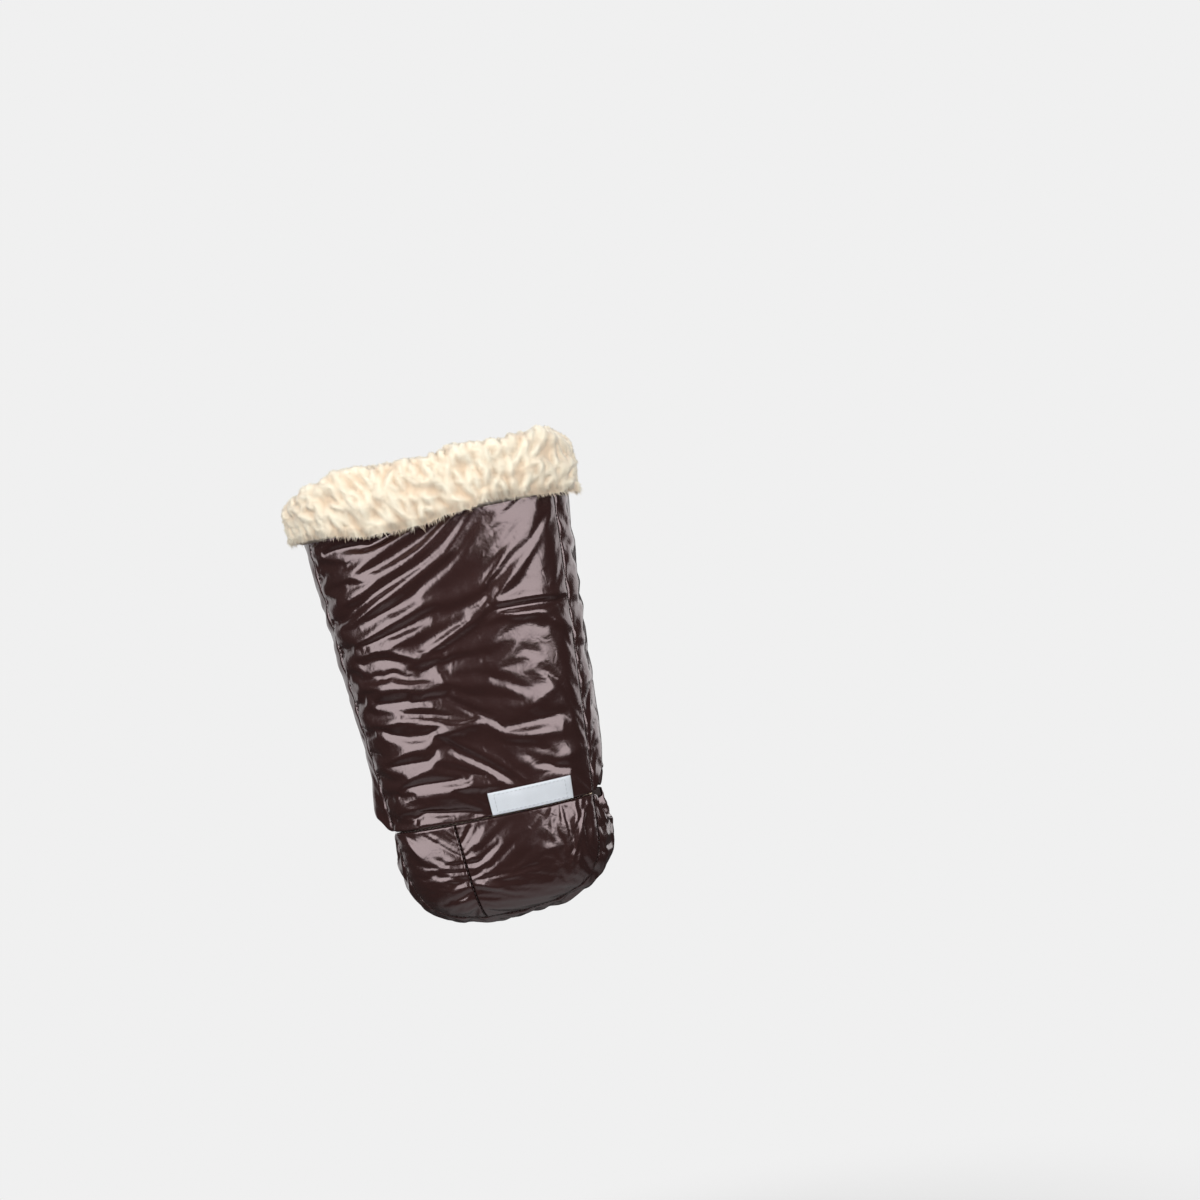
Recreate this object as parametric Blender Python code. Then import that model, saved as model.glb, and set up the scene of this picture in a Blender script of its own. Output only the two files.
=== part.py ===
"""Hand warmer muff for a push bar.

A padded sleeve with a turned plush cuff stands over a bar. Under its waist seam hangs a pouch
that goes round the bar and closes at the back with a hook and loop tab.
The origin is the middle of the bar: X runs along the bar, Z up the sleeve, and -Y is the front.
Every padded piece is one pattern piece, cut from the muff's outer surface by planes and made three
times, in shell cloth, in batting and in plush, each at its own depth under that surface.
"""

import math

import bmesh
import bpy
from mathutils import Vector

# Outer form, in metres.
MOUTH_WIDTH = 0.186
MOUTH_DEPTH = 0.104
WAIST_WIDTH = 0.151
WAIST_DEPTH = 0.092
SLEEVE_HEIGHT = 0.232
WAIST_HEIGHT = 0.004
POUCH_DROP = 0.069
BELLY = 0.004
PLAN_POWER = 2.4
BOTTOM_POWER = 4.2

# The bar that the muff hangs on, and the room round it.
BAR_DIAMETER = 0.030
BAR_CLEARANCE = 0.002

# Layers of a padded wall, from the outside in.
SHELL_THICKNESS = 0.0008
BATTING_THICKNESS = 0.0080
PLUSH_THICKNESS = 0.0050
LAYER_GAP = 0.0004

# Seams: the cut edges stand apart for the thread, and draw the padding in.
SEAM_GAP = 0.0011
SEAM_DIP = 0.0030
SEAM_DIP_REACH = 0.0090
SIDE_SEAM_Y = -0.021
PANEL_SEAM_X = -0.0245
THREAD_DIAMETER = 0.0006
THREAD_END_GAP = 0.0020
FACING_HEIGHT = 0.0060

# Plush cuff, turned over the sleeve's top edge.
CUFF_HEIGHT = 0.043
CUFF_OVER_RIM = 0.018
CUFF_OUTER_PILE = 0.0085
CUFF_INNER_PILE = 0.0100
CUFF_ROUNDNESS = 0.55
CUFF_DROOP = 0.0035
CUFF_SAG = 0.0130

# Main folds of the sleeve's cloth. They stand off the batting and die out before whatever lies on the shell.
FOLD_WIDTH = 0.0050
FOLD_HEIGHT = 0.0030
FOLD_FADE = 0.0120

# Label, sewn on just above the waist seam.
LABEL_WIDTH = 0.0545
LABEL_HEIGHT = 0.0155
LABEL_THICKNESS = 0.0008
LABEL_LEFT_X = 0.003

# Closing tab at the back, with its hook and loop tapes.
TAB_WIDTH = 0.116
TAB_HEIGHT = 0.034
TAB_THICKNESS = 0.0024
TAB_ROOT_HEIGHT = 0.012
TAPE_WIDTH = 0.100
TAPE_HEIGHT = 0.022
TAPE_THICKNESS = 0.0015

# Faceting.
AROUND = 28
SLEEVE_ROWS = 4
POUCH_ROWS = 6
CUFF_ARCH_STEPS = 8
SIDE_THREAD_STEPS = 9
WAIST_THREAD_STEPS = 14
RIM_THREAD_STEPS = 22
PANEL_THREAD_STEPS = 8
BAR_CUTTER_SIDES = 32
FOLD_ROWS = 32
CLOSE = 1e-6

# Depths under the outer surface, and heights, that follow from the sizes above.
SHELL_FAR = SHELL_THICKNESS
BATTING_NEAR = SHELL_FAR + LAYER_GAP
BATTING_FAR = BATTING_NEAR + BATTING_THICKNESS
PLUSH_NEAR = BATTING_FAR + LAYER_GAP
PLUSH_FAR = PLUSH_NEAR + PLUSH_THICKNESS
LOOP_NEAR = -LAYER_GAP
LOOP_FAR = LOOP_NEAR - TAPE_THICKNESS
HOOK_NEAR = LOOP_FAR - LAYER_GAP
HOOK_FAR = HOOK_NEAR - TAPE_THICKNESS
TAB_NEAR = HOOK_FAR - LAYER_GAP
TAB_FAR = TAB_NEAR - TAB_THICKNESS
CUFF_TOP = SLEEVE_HEIGHT + CUFF_OVER_RIM
CUFF_LOW = CUFF_TOP - CUFF_HEIGHT
BAR_HOLE_RADIUS = BAR_DIAMETER / 2 + BAR_CLEARANCE
HALF_SEAM = SEAM_GAP / 2
SLEEVE_LOW = WAIST_HEIGHT + HALF_SEAM
POUCH_HIGH = WAIST_HEIGHT - HALF_SEAM
FRONT_EDGE = SIDE_SEAM_Y - HALF_SEAM
BACK_EDGE = SIDE_SEAM_Y + HALF_SEAM
TAPE_LOW = POUCH_HIGH + (TAB_HEIGHT - TAPE_HEIGHT) / 2
TAPE_HIGH = TAPE_LOW + TAPE_HEIGHT

# The folds' ends, each as (share of the half width, share of the sleeve's height), and share of the full height.
FRONT_FOLDS = [
    ((0.38, 0.616), (0.95, 0.599), 1.05),
    ((0.38, 0.582), (0.87, 0.565), 0.95),
    ((0.39, 0.616), (0.74, 0.746), 0.65),
    ((-0.74, 0.763), (-0.17, 0.858), 0.70),
    ((-0.78, 0.694), (0.07, 0.823), 0.80),
    ((-0.72, 0.642), (0.21, 0.793), 0.80),
    ((-0.77, 0.578), (0.00, 0.664), 0.80),
    ((-0.73, 0.539), (-0.15, 0.586), 0.70),
    ((-0.23, 0.513), (0.24, 0.582), 0.70),
    ((-0.81, 0.453), (-0.30, 0.431), 0.65),
    ((-0.73, 0.422), (-0.11, 0.405), 0.60),
    ((-0.80, 0.341), (-0.41, 0.336), 0.55),
    ((-0.79, 0.228), (0.14, 0.302), 0.80),
    ((-0.74, 0.151), (0.04, 0.259), 0.80),
    ((0.26, 0.237), (0.77, 0.220), 0.55),
]
BACK_FOLDS = [
    ((0.72, 0.793), (0.05, 0.845), 0.90),
    ((-0.09, 0.819), (-0.70, 0.767), 0.80),
    ((0.78, 0.707), (-0.12, 0.759), 1.00),
    ((-0.21, 0.724), (-0.78, 0.681), 0.85),
    ((0.69, 0.629), (0.02, 0.664), 0.85),
    ((0.12, 0.595), (-0.74, 0.629), 1.00),
    ((0.79, 0.543), (-0.07, 0.569), 1.00),
    ((-0.17, 0.526), (-0.80, 0.552), 0.80),
    ((0.73, 0.457), (0.10, 0.491), 0.85),
    ((0.05, 0.440), (-0.78, 0.466), 0.95),
    ((0.79, 0.371), (-0.25, 0.405), 1.00),
    ((-0.32, 0.362), (-0.82, 0.388), 0.75),
    ((0.70, 0.293), (0.00, 0.319), 0.80),
    ((-0.08, 0.267), (-0.78, 0.310), 0.95),
]
FOLD_END_TAPER = 0.6
FOLD_END_WIDTH = 0.35

# The cuff's edges across its width: (share of the half width, share of the droop, share of the sag at the top).
CUFF_EDGES = [
    (-1.00, -0.9, 1.0),
    (-0.88, -1.1, 0.6),
    (-0.78, -1.1, 0.35),
    (-0.60, -0.3, 0.0),
    (-0.45, 0.9, 0.0),
    (-0.20, 1.0, 0.0),
    (0.00, 0.9, 0.1),
    (0.18, 0.0, 0.0),
    (0.34, -0.3, 0.0),
    (0.50, -1.3, 0.0),
    (0.64, -1.1, 0.1),
    (0.80, -0.3, 0.0),
    (0.92, 0.3, 0.0),
    (1.00, 0.6, 0.45),
]

# Directions in which a cutting plane takes cloth away.
LEFT = Vector((-1, 0, 0))
RIGHT = Vector((1, 0, 0))
FRONT = Vector((0, -1, 0))
BACK = Vector((0, 1, 0))
BELOW = Vector((0, 0, -1))
ABOVE = Vector((0, 0, 1))


def clear_scene():
    for obj in list(bpy.data.objects):
        bpy.data.objects.remove(obj, do_unlink=True)


def new_collection(name):
    collection = bpy.data.collections.new(name)
    bpy.context.scene.collection.children.link(collection)
    return collection


def new_material(name, colour, roughness):
    material = bpy.data.materials.new(name)
    material.use_nodes = True
    shader = material.node_tree.nodes["Principled BSDF"]
    shader.inputs["Base Color"].default_value = (*colour, 1.0)
    shader.inputs["Roughness"].default_value = roughness
    shader.inputs["Metallic"].default_value = 0.0
    return material


# The outer surface: a tapered sleeve above the bar's axis and a rounded bowl below it.

def signed_power(value, power):
    return math.copysign(abs(value) ** power, value)


def half_axes(height):
    """Half the width and half the depth of the plan at a height, widening from waist to mouth."""
    rise = min(max(height / SLEEVE_HEIGHT, 0.0), 1.0)
    half_width = (WAIST_WIDTH + (MOUTH_WIDTH - WAIST_WIDTH) * rise) / 2
    half_depth = (WAIST_DEPTH + (MOUTH_DEPTH - WAIST_DEPTH) * rise) / 2
    return half_width, half_depth + BELLY * math.sin(math.pi * rise)


def plan_point(turn, height, shrink=1.0):
    """A point of the plan at a height: turn goes once round from 0 to 1, starting at +X."""
    half_width, half_depth = half_axes(height)
    angle = 2 * math.pi * turn
    x = half_width * shrink * signed_power(math.cos(angle), 2 / PLAN_POWER)
    y = half_depth * shrink * signed_power(math.sin(angle), 2 / PLAN_POWER)
    return Vector((x, y, height))


def surface_point(turn, fall):
    """A point of the outer surface: fall goes from 0 at the mouth to 1 at the lowest point."""
    rows_down = fall * (SLEEVE_ROWS + POUCH_ROWS)
    if rows_down <= SLEEVE_ROWS:
        return plan_point(turn, SLEEVE_HEIGHT * (1 - rows_down / SLEEVE_ROWS))
    angle = math.pi / 2 * (rows_down - SLEEVE_ROWS) / POUCH_ROWS
    shrink = max(math.cos(angle), 0.0) ** (2 / PLAN_POWER)
    point = plan_point(turn, 0.0, shrink)
    point.z = -POUCH_DROP * math.sin(angle) ** (2 / BOTTOM_POWER)
    return point


def outward(point):
    """The unit normal of the outer surface at a point on or near it."""
    half_width, half_depth = half_axes(point.z)
    depth_below = min(point.z, 0.0) / POUCH_DROP
    return Vector((
        PLAN_POWER * signed_power(point.x / half_width, PLAN_POWER - 1) / half_width,
        PLAN_POWER * signed_power(point.y / half_depth, PLAN_POWER - 1) / half_depth,
        BOTTOM_POWER * signed_power(depth_below, BOTTOM_POWER - 1) / POUCH_DROP,
    )).normalized()


def seam_dip(point):
    """How far the nearest seam draws the shell in."""
    distances = [point.y - SIDE_SEAM_Y, point.z - WAIST_HEIGHT]
    if point.z < WAIST_HEIGHT and point.y < SIDE_SEAM_Y:
        distances.append(point.x - PANEL_SEAM_X)
    nearest = min(abs(distance) for distance in distances)
    return SEAM_DIP * math.exp(-((nearest / SEAM_DIP_REACH) ** 2))


def sunk(point, depth):
    """The point at a depth under the surface, or proud of it where the depth is negative.

    The seams squeeze the batting from outside, so their dip fades out at its inner face.
    """
    through_batting = (depth - BATTING_NEAR) / BATTING_THICKNESS
    dip_share = min(max(1 - through_batting, 0.0), 1.0)
    return point - outward(point) * (seam_dip(point) * dip_share + depth)


def side_seam_point(height, side):
    """Where the side seam's plane meets the sleeve at a height, on the left (-1) or right (1)."""
    half_width, half_depth = half_axes(height)
    share = 1 - abs(SIDE_SEAM_Y / half_depth) ** PLAN_POWER
    return Vector((side * half_width * share ** (1 / PLAN_POWER), SIDE_SEAM_Y, height))


def rim_seam_point(turn):
    """The seam between the pouch's front and wrap: turn goes from 0 at the right to 1 at the left."""
    half_width, half_depth = half_axes(0.0)
    share = 1 - abs(SIDE_SEAM_Y / half_depth) ** PLAN_POWER
    angle = math.pi * turn
    across = signed_power(math.cos(angle), 2 / PLAN_POWER)
    fall = max(math.sin(angle), 0.0) ** (2 / BOTTOM_POWER)
    x = half_width * share ** (1 / PLAN_POWER) * across
    z = -POUCH_DROP * share ** (1 / BOTTOM_POWER) * fall
    return Vector((x, SIDE_SEAM_Y, z))


def rim_seam_height(x):
    """The height of that seam under a place across the pouch."""
    half_width, half_depth = half_axes(0.0)
    share = 1 - abs(SIDE_SEAM_Y / half_depth) ** PLAN_POWER - abs(x / half_width) ** PLAN_POWER
    return -POUCH_DROP * share ** (1 / BOTTOM_POWER)


def front_point(x, z):
    """The point of the front's outer surface at a place seen from the front."""
    half_width, half_depth = half_axes(z)
    below = (max(-z, 0.0) / POUCH_DROP) ** BOTTOM_POWER
    share = max(1 - abs(x / half_width) ** PLAN_POWER - below, 0.0)
    return Vector((x, -half_depth * share ** (1 / PLAN_POWER), z))


def along_fold(point, start, end):
    """How far along a fold a point lies, from 0 to 1, and how far beside it."""
    run = end - start
    share = (point - start).dot(run) / run.length_squared
    return min(max(share, 0.0), 1.0), abs((point - start).cross(run)) / run.length


def fold_end(place):
    across, rise = place
    height = rise * SLEEVE_HEIGHT
    return Vector((across * half_axes(height)[0], height))


def fold_lift(point):
    """How far the main folds lift the sleeve's cloth off its batting."""
    in_front = point.y < SIDE_SEAM_Y
    lowest = LABEL_LOW + LABEL_HEIGHT if in_front else POUCH_HIGH + TAB_HEIGHT
    beside = SIDE_SEAM_Y - point.y if in_front else point.y
    room = min(beside, point.z - lowest, CUFF_LOW - CUFF_DROOP - point.z)
    fade = min(max(room / FOLD_FADE, 0.0), 1.0)
    lift = 0.0
    for start, end, share in FRONT_FOLDS if in_front else BACK_FOLDS:
        along, away = along_fold(Vector((point.x, point.z)), fold_end(start), fold_end(end))
        swell = math.sin(math.pi * along) ** FOLD_END_TAPER
        width = FOLD_WIDTH * (FOLD_END_WIDTH + (1 - FOLD_END_WIDTH) * swell)
        lift += share * swell * math.exp(-((away / width) ** 2))
    return FOLD_HEIGHT * fade * lift


# Pattern pieces.

def sleeve_point(turn, fall):
    """A point of the sleeve alone: fall goes from 0 at the mouth to 1 at the bar's axis."""
    return plan_point(turn, SLEEVE_HEIGHT * (1 - fall))


def mapped_grid(columns, rows, place):
    """A grid bent by place(across, down), both from 0 to 1, with its meeting edges welded."""
    bm = bmesh.new()
    bmesh.ops.create_grid(bm, x_segments=columns, y_segments=rows, size=0.5)
    for vert in bm.verts:
        vert.co = place(vert.co.x + 0.5, 0.5 - vert.co.y)
    bmesh.ops.remove_doubles(bm, verts=bm.verts, dist=CLOSE)
    return bm


def slice_plane(bm, way, distance, trim):
    """Cuts an edge across the cloth at a plane, and trims off what lies further that way."""
    bmesh.ops.bisect_plane(
        bm,
        geom=bm.verts[:] + bm.edges[:] + bm.faces[:],
        dist=CLOSE,
        plane_co=way * distance,
        plane_no=way,
        clear_outer=trim,
    )


def plain_surface():
    bm = mapped_grid(AROUND, SLEEVE_ROWS + POUCH_ROWS, surface_point)
    bmesh.ops.triangulate(bm, faces=bm.faces)
    return bm


def folded_surface():
    """The sleeve in rows close enough for its folds, split the way that most of them rise."""
    bm = mapped_grid(AROUND, FOLD_ROWS, sleeve_point)
    bmesh.ops.triangulate(bm, faces=bm.faces, quad_method="FIXED")
    return bm


def cut_pattern(bm, trims, creases):
    """Trims the outer surface to a pattern piece, with extra edges where a seam rounds it.

    It is cut as triangles, so that the layers of one wall have the same facets and nest.
    """
    for way, distance in trims:
        slice_plane(bm, way, distance, trim=True)
    for way, distance in creases:
        slice_plane(bm, way, distance, trim=False)
    bmesh.ops.triangulate(bm, faces=bm.faces)
    return bm


def thicken(bm, near, far, folded=False):
    """Makes the open pattern a closed layer that lies between two depths."""
    made = bmesh.ops.extrude_face_region(bm, geom=bm.faces[:], use_keep_orig=True)
    far_verts = {item for item in made["geom"] if isinstance(item, bmesh.types.BMVert)}
    for vert in bm.verts:
        lift = fold_lift(vert.co) if folded else 0.0
        vert.co = sunk(vert.co.copy(), (far if vert in far_verts else near) - lift)
    bmesh.ops.recalc_face_normals(bm, faces=bm.faces)


def add_mesh(name, bm, material, collection):
    mesh = bpy.data.meshes.new(name)
    bm.to_mesh(mesh)
    bm.free()
    mesh.shade_smooth()
    mesh.set_sharp_from_angle(angle=math.radians(40))
    mesh.materials.append(material)
    obj = bpy.data.objects.new(name, mesh)
    collection.objects.link(obj)
    return obj


def add_layer(name, pattern, near, far, material, collection, folded=False):
    """One pattern piece in one cloth. The sleeve's shell has its main folds, and what lies on it nests with them."""
    trims, creases = pattern
    bm = cut_pattern(folded_surface() if folded else plain_surface(), trims, creases)
    thicken(bm, near, far, folded)
    return add_mesh(name, bm, material, collection)


def add_bar_cutter(collection):
    """A round bar along X that opens both sides of the muff."""
    bpy.ops.mesh.primitive_cylinder_add(
        vertices=BAR_CUTTER_SIDES,
        radius=BAR_HOLE_RADIUS,
        depth=2 * MOUTH_WIDTH,
        rotation=(0, math.pi / 2, 0),
    )
    cutter = bpy.context.object
    cutter.name = "bar_cutter"
    cutter.hide_render = True
    cutter.display_type = "WIRE"
    for holder in list(cutter.users_collection):
        holder.objects.unlink(cutter)
    collection.objects.link(cutter)
    return cutter


def pass_bar(obj, cutter):
    hole = obj.modifiers.new("bar_hole", "BOOLEAN")
    hole.operation = "DIFFERENCE"
    hole.object = cutter
    hole.solver = "EXACT"


# Sleeve: the front panel ends at the side seams, and the back panel takes in both sides.

FRONT_ROUNDING = [(BACK, FRONT_EDGE - SEAM_DIP_REACH), (ABOVE, SLEEVE_LOW + SEAM_DIP_REACH)]
BACK_ROUNDING = [(BACK, BACK_EDGE + SEAM_DIP_REACH), (ABOVE, SLEEVE_LOW + SEAM_DIP_REACH)]
FRONT_TRIMS = [(BACK, FRONT_EDGE), (BELOW, -SLEEVE_LOW)]
BACK_TRIMS = [(FRONT, -BACK_EDGE), (BELOW, -SLEEVE_LOW)]
BACK_FILL_TRIMS = [(FRONT, -BACK_EDGE), (BELOW, -(SLEEVE_LOW + FACING_HEIGHT + LAYER_GAP))]
BACK_FACING_TRIMS = [
    (FRONT, -BAR_HOLE_RADIUS),
    (BELOW, -SLEEVE_LOW),
    (ABOVE, SLEEVE_LOW + FACING_HEIGHT),
]
UNDER_CUFF = [(ABOVE, CUFF_LOW - SEAM_GAP)]


def add_sleeve_front(materials, parts):
    pattern = (FRONT_TRIMS, FRONT_ROUNDING)
    lining = (FRONT_TRIMS + UNDER_CUFF, [])
    return [
        add_layer("front_shell", pattern, 0.0, SHELL_FAR, materials["shell"], parts, folded=True),
        add_layer("front_batting", pattern, BATTING_NEAR, BATTING_FAR, materials["batting"], parts),
        add_layer("front_lining", lining, PLUSH_NEAR, PLUSH_FAR, materials["plush"], parts),
    ]


def add_sleeve_back(materials, parts, cutter):
    """The back panel, open at both sides for the bar, with a facing along its free lower edge."""
    shell = (BACK_TRIMS, BACK_ROUNDING)
    filling = (BACK_FILL_TRIMS, BACK_ROUNDING)
    lining = (BACK_TRIMS + UNDER_CUFF, [])
    facing = (BACK_FACING_TRIMS, [])
    layers = [
        add_layer("back_shell", shell, 0.0, SHELL_FAR, materials["shell"], parts, folded=True),
        add_layer("back_batting", filling, BATTING_NEAR, BATTING_FAR, materials["batting"], parts),
        add_layer("back_lining", lining, PLUSH_NEAR, PLUSH_FAR, materials["plush"], parts),
    ]
    for layer in layers:
        pass_bar(layer, cutter)
    add_layer("back_facing", facing, BATTING_NEAR, BATTING_FAR, materials["binding"], parts)


def cuff_profile():
    """The cuff's cut face as (distance out of the shell, height): an arch over the wall, open below."""
    inner_edge = -(BATTING_FAR + CUFF_INNER_PILE)
    middle = (CUFF_OUTER_PILE + inner_edge) / 2
    half_span = (CUFF_OUTER_PILE - inner_edge) / 2
    outline = []
    for step in range(CUFF_ARCH_STEPS + 1):
        angle = math.pi * step / CUFF_ARCH_STEPS
        across = signed_power(math.cos(angle), CUFF_ROUNDNESS)
        rise = max(math.sin(angle), 0.0) ** CUFF_ROUNDNESS
        outline.append((middle + half_span * across, CUFF_LOW + CUFF_HEIGHT * rise))
    wall_outside, wall_inside = LAYER_GAP, -(BATTING_FAR + LAYER_GAP)
    rim = SLEEVE_HEIGHT + LAYER_GAP
    outline += [(wall_inside, CUFF_LOW), (wall_inside, rim), (wall_outside, rim), (wall_outside, CUFF_LOW)]
    return outline


def cuff_edge(across):
    """How far the cuff hangs down at its lower edge and at its top, at a share of the half width."""
    for (left, *left_drops), (right, *right_drops) in zip(CUFF_EDGES, CUFF_EDGES[1:]):
        if across <= right:
            break
    share = min(max((across - left) / (right - left), 0.0), 1.0)
    droop, sag = (low + (high - low) * share for low, high in zip(left_drops, right_drops))
    return droop * CUFF_DROOP, sag * CUFF_SAG


def add_cuff(materials, parts):
    """The plush band that is turned over the mouth, as a ring with an arched cut face."""
    outline = cuff_profile()
    corners = len(outline)
    arch = CUFF_ARCH_STEPS + 1

    def place(turn, along):
        corner = round(along * corners) % corners
        distance, height = outline[corner]
        on_wall = plan_point(turn, min(height, SLEEVE_HEIGHT))
        placed = on_wall + outward(on_wall) * distance
        droop, sag = cuff_edge(on_wall.x / half_axes(height)[0])
        rise = (height - CUFF_LOW) / CUFF_HEIGHT
        placed.z = height
        if corner < arch:
            placed.z -= sag * rise
        if distance > 0 and height < SLEEVE_HEIGHT:
            placed.z -= droop * (1 - rise)
        return placed

    bm = mapped_grid(AROUND, corners, place)
    bmesh.ops.recalc_face_normals(bm, faces=bm.faces)
    add_mesh("cuff", bm, materials["plush"], parts)


LABEL_LOW = SLEEVE_LOW + LAYER_GAP
LABEL_TRIMS = [
    (BACK, FRONT_EDGE),
    (LEFT, -LABEL_LEFT_X),
    (RIGHT, LABEL_LEFT_X + LABEL_WIDTH),
    (BELOW, -LABEL_LOW),
    (ABOVE, LABEL_LOW + LABEL_HEIGHT),
]


def add_label(materials, parts):
    pattern = (LABEL_TRIMS, FRONT_ROUNDING)
    far = -LAYER_GAP - LABEL_THICKNESS
    add_layer("label", pattern, -LAYER_GAP, far, materials["label"], parts, folded=True)


# Pouch: two front panels, and a wrap that goes under the bar and up the back.

POUCH_FRONT_TRIMS = [(ABOVE, POUCH_HIGH), (BACK, FRONT_EDGE)]
POUCH_LEFT_TRIMS = POUCH_FRONT_TRIMS + [(RIGHT, PANEL_SEAM_X - HALF_SEAM)]
POUCH_RIGHT_TRIMS = POUCH_FRONT_TRIMS + [(LEFT, -(PANEL_SEAM_X + HALF_SEAM))]
POUCH_ROUNDING = [
    (BACK, FRONT_EDGE - SEAM_DIP_REACH),
    (ABOVE, POUCH_HIGH - SEAM_DIP_REACH),
    (RIGHT, PANEL_SEAM_X - SEAM_DIP_REACH),
    (RIGHT, PANEL_SEAM_X - HALF_SEAM),
    (RIGHT, PANEL_SEAM_X + HALF_SEAM),
    (RIGHT, PANEL_SEAM_X + SEAM_DIP_REACH),
]
RIM_FACING_LOW = POUCH_HIGH - FACING_HEIGHT
WRAP_ROUNDING = [(BACK, BACK_EDGE + SEAM_DIP_REACH), (ABOVE, POUCH_HIGH - SEAM_DIP_REACH)]
WRAP_TRIMS = [(FRONT, -BACK_EDGE), (ABOVE, POUCH_HIGH)]
WRAP_FILL_TRIMS = [(FRONT, -BACK_EDGE), (ABOVE, RIM_FACING_LOW - LAYER_GAP)]
RIM_FACING_TRIMS = [(FRONT, -BAR_HOLE_RADIUS), (ABOVE, POUCH_HIGH), (BELOW, -RIM_FACING_LOW)]


def add_pouch_front(materials, parts):
    left = (POUCH_LEFT_TRIMS, POUCH_ROUNDING)
    right = (POUCH_RIGHT_TRIMS, POUCH_ROUNDING)
    whole = (POUCH_FRONT_TRIMS, POUCH_ROUNDING)
    return [
        add_layer("pouch_left_panel", left, 0.0, SHELL_FAR, materials["shell"], parts),
        add_layer("pouch_right_panel", right, 0.0, SHELL_FAR, materials["shell"], parts),
        add_layer("pouch_front_batting", whole, BATTING_NEAR, BATTING_FAR, materials["batting"], parts),
        add_layer("pouch_front_lining", whole, PLUSH_NEAR, PLUSH_FAR, materials["plush"], parts),
    ]


def add_pouch_wrap(materials, parts, cutter):
    """The wrap, open at both sides for the bar, with a facing along its free upper edge."""
    shell = (WRAP_TRIMS, WRAP_ROUNDING)
    filling = (WRAP_FILL_TRIMS, WRAP_ROUNDING)
    facing = (RIM_FACING_TRIMS, [])
    layers = [
        add_layer("pouch_wrap_shell", shell, 0.0, SHELL_FAR, materials["shell"], parts),
        add_layer("pouch_wrap_batting", filling, BATTING_NEAR, BATTING_FAR, materials["batting"], parts),
        add_layer("pouch_wrap_lining", shell, PLUSH_NEAR, PLUSH_FAR, materials["plush"], parts),
    ]
    for layer in layers:
        pass_bar(layer, cutter)
    layers.append(add_layer("pouch_facing", facing, BATTING_NEAR, BATTING_FAR, materials["binding"], parts))
    return layers


# Closure: loop tape on the sleeve's back, and a tab with hook tape that folds up from its sewn root.

TAB_SIDES = [(FRONT, 0.0), (LEFT, TAB_WIDTH / 2), (RIGHT, TAB_WIDTH / 2)]
TAB_ROOT_TRIMS = TAB_SIDES + [(ABOVE, POUCH_HIGH), (BELOW, TAB_ROOT_HEIGHT - POUCH_HIGH)]
TAB_TRIMS = TAB_SIDES + [(BELOW, -(POUCH_HIGH + LAYER_GAP)), (ABOVE, POUCH_HIGH + TAB_HEIGHT)]
TAPE_TRIMS = [
    (FRONT, 0.0),
    (LEFT, TAPE_WIDTH / 2),
    (RIGHT, TAPE_WIDTH / 2),
    (BELOW, -TAPE_LOW),
    (ABOVE, TAPE_HIGH),
]


def add_loop_tape(materials, parts):
    pattern = (TAPE_TRIMS, BACK_ROUNDING)
    add_layer("loop_tape", pattern, LOOP_NEAR, LOOP_FAR, materials["tape"], parts, folded=True)


def add_tab_root(materials, parts):
    pattern = (TAB_ROOT_TRIMS, WRAP_ROUNDING)
    return add_layer("tab_root", pattern, LOOP_NEAR, TAB_FAR, materials["shell"], parts)


def add_tab(materials, parts):
    tab = (TAB_TRIMS, BACK_ROUNDING)
    tape = (TAPE_TRIMS, BACK_ROUNDING)
    return [
        add_layer("closing_tab", tab, TAB_NEAR, TAB_FAR, materials["shell"], parts, folded=True),
        add_layer("hook_tape", tape, HOOK_NEAR, HOOK_FAR, materials["tape"], parts, folded=True),
    ]


# Sewing thread, lying in the gaps between the cut edges.

def spaced(low, high, steps):
    return [low + (high - low) * step / steps for step in range(steps + 1)]


def in_seam(points):
    return [sunk(point, SHELL_THICKNESS / 2) for point in points]


def add_thread(name, points, material, collection, closed=False):
    curve = bpy.data.curves.new(name, "CURVE")
    curve.dimensions = "3D"
    curve.bevel_depth = THREAD_DIAMETER / 2
    curve.bevel_resolution = 1
    curve.use_fill_caps = True
    spline = curve.splines.new("POLY")
    spline.points.add(len(points) - 1)
    for spot, point in zip(spline.points, points):
        spot.co = (*point, 1.0)
    spline.use_cyclic_u = closed
    curve.materials.append(material)
    obj = bpy.data.objects.new(name, curve)
    collection.objects.link(obj)
    return obj


def add_sleeve_threads(thread, parts):
    """Side seams, the waist seam that carries the pouch, and the ring that holds the cuff's inner edge."""
    heights = spaced(WAIST_HEIGHT + THREAD_END_GAP, SLEEVE_HEIGHT - THREAD_END_GAP, SIDE_THREAD_STEPS)
    for name, side in (("left_side_thread", -1), ("right_side_thread", 1)):
        add_thread(name, in_seam(side_seam_point(z, side) for z in heights), thread, parts)
    reach = side_seam_point(WAIST_HEIGHT, 1).x - THREAD_END_GAP
    across = spaced(-reach, reach, WAIST_THREAD_STEPS)
    add_thread("waist_thread", in_seam(front_point(x, WAIST_HEIGHT) for x in across), thread, parts)
    cuff_seam = CUFF_LOW - HALF_SEAM
    middle = PLUSH_NEAR + PLUSH_THICKNESS / 2
    ring = [sunk(plan_point(step / AROUND, cuff_seam), middle) for step in range(AROUND)]
    add_thread("cuff_thread", ring, thread, parts, closed=True)


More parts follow.
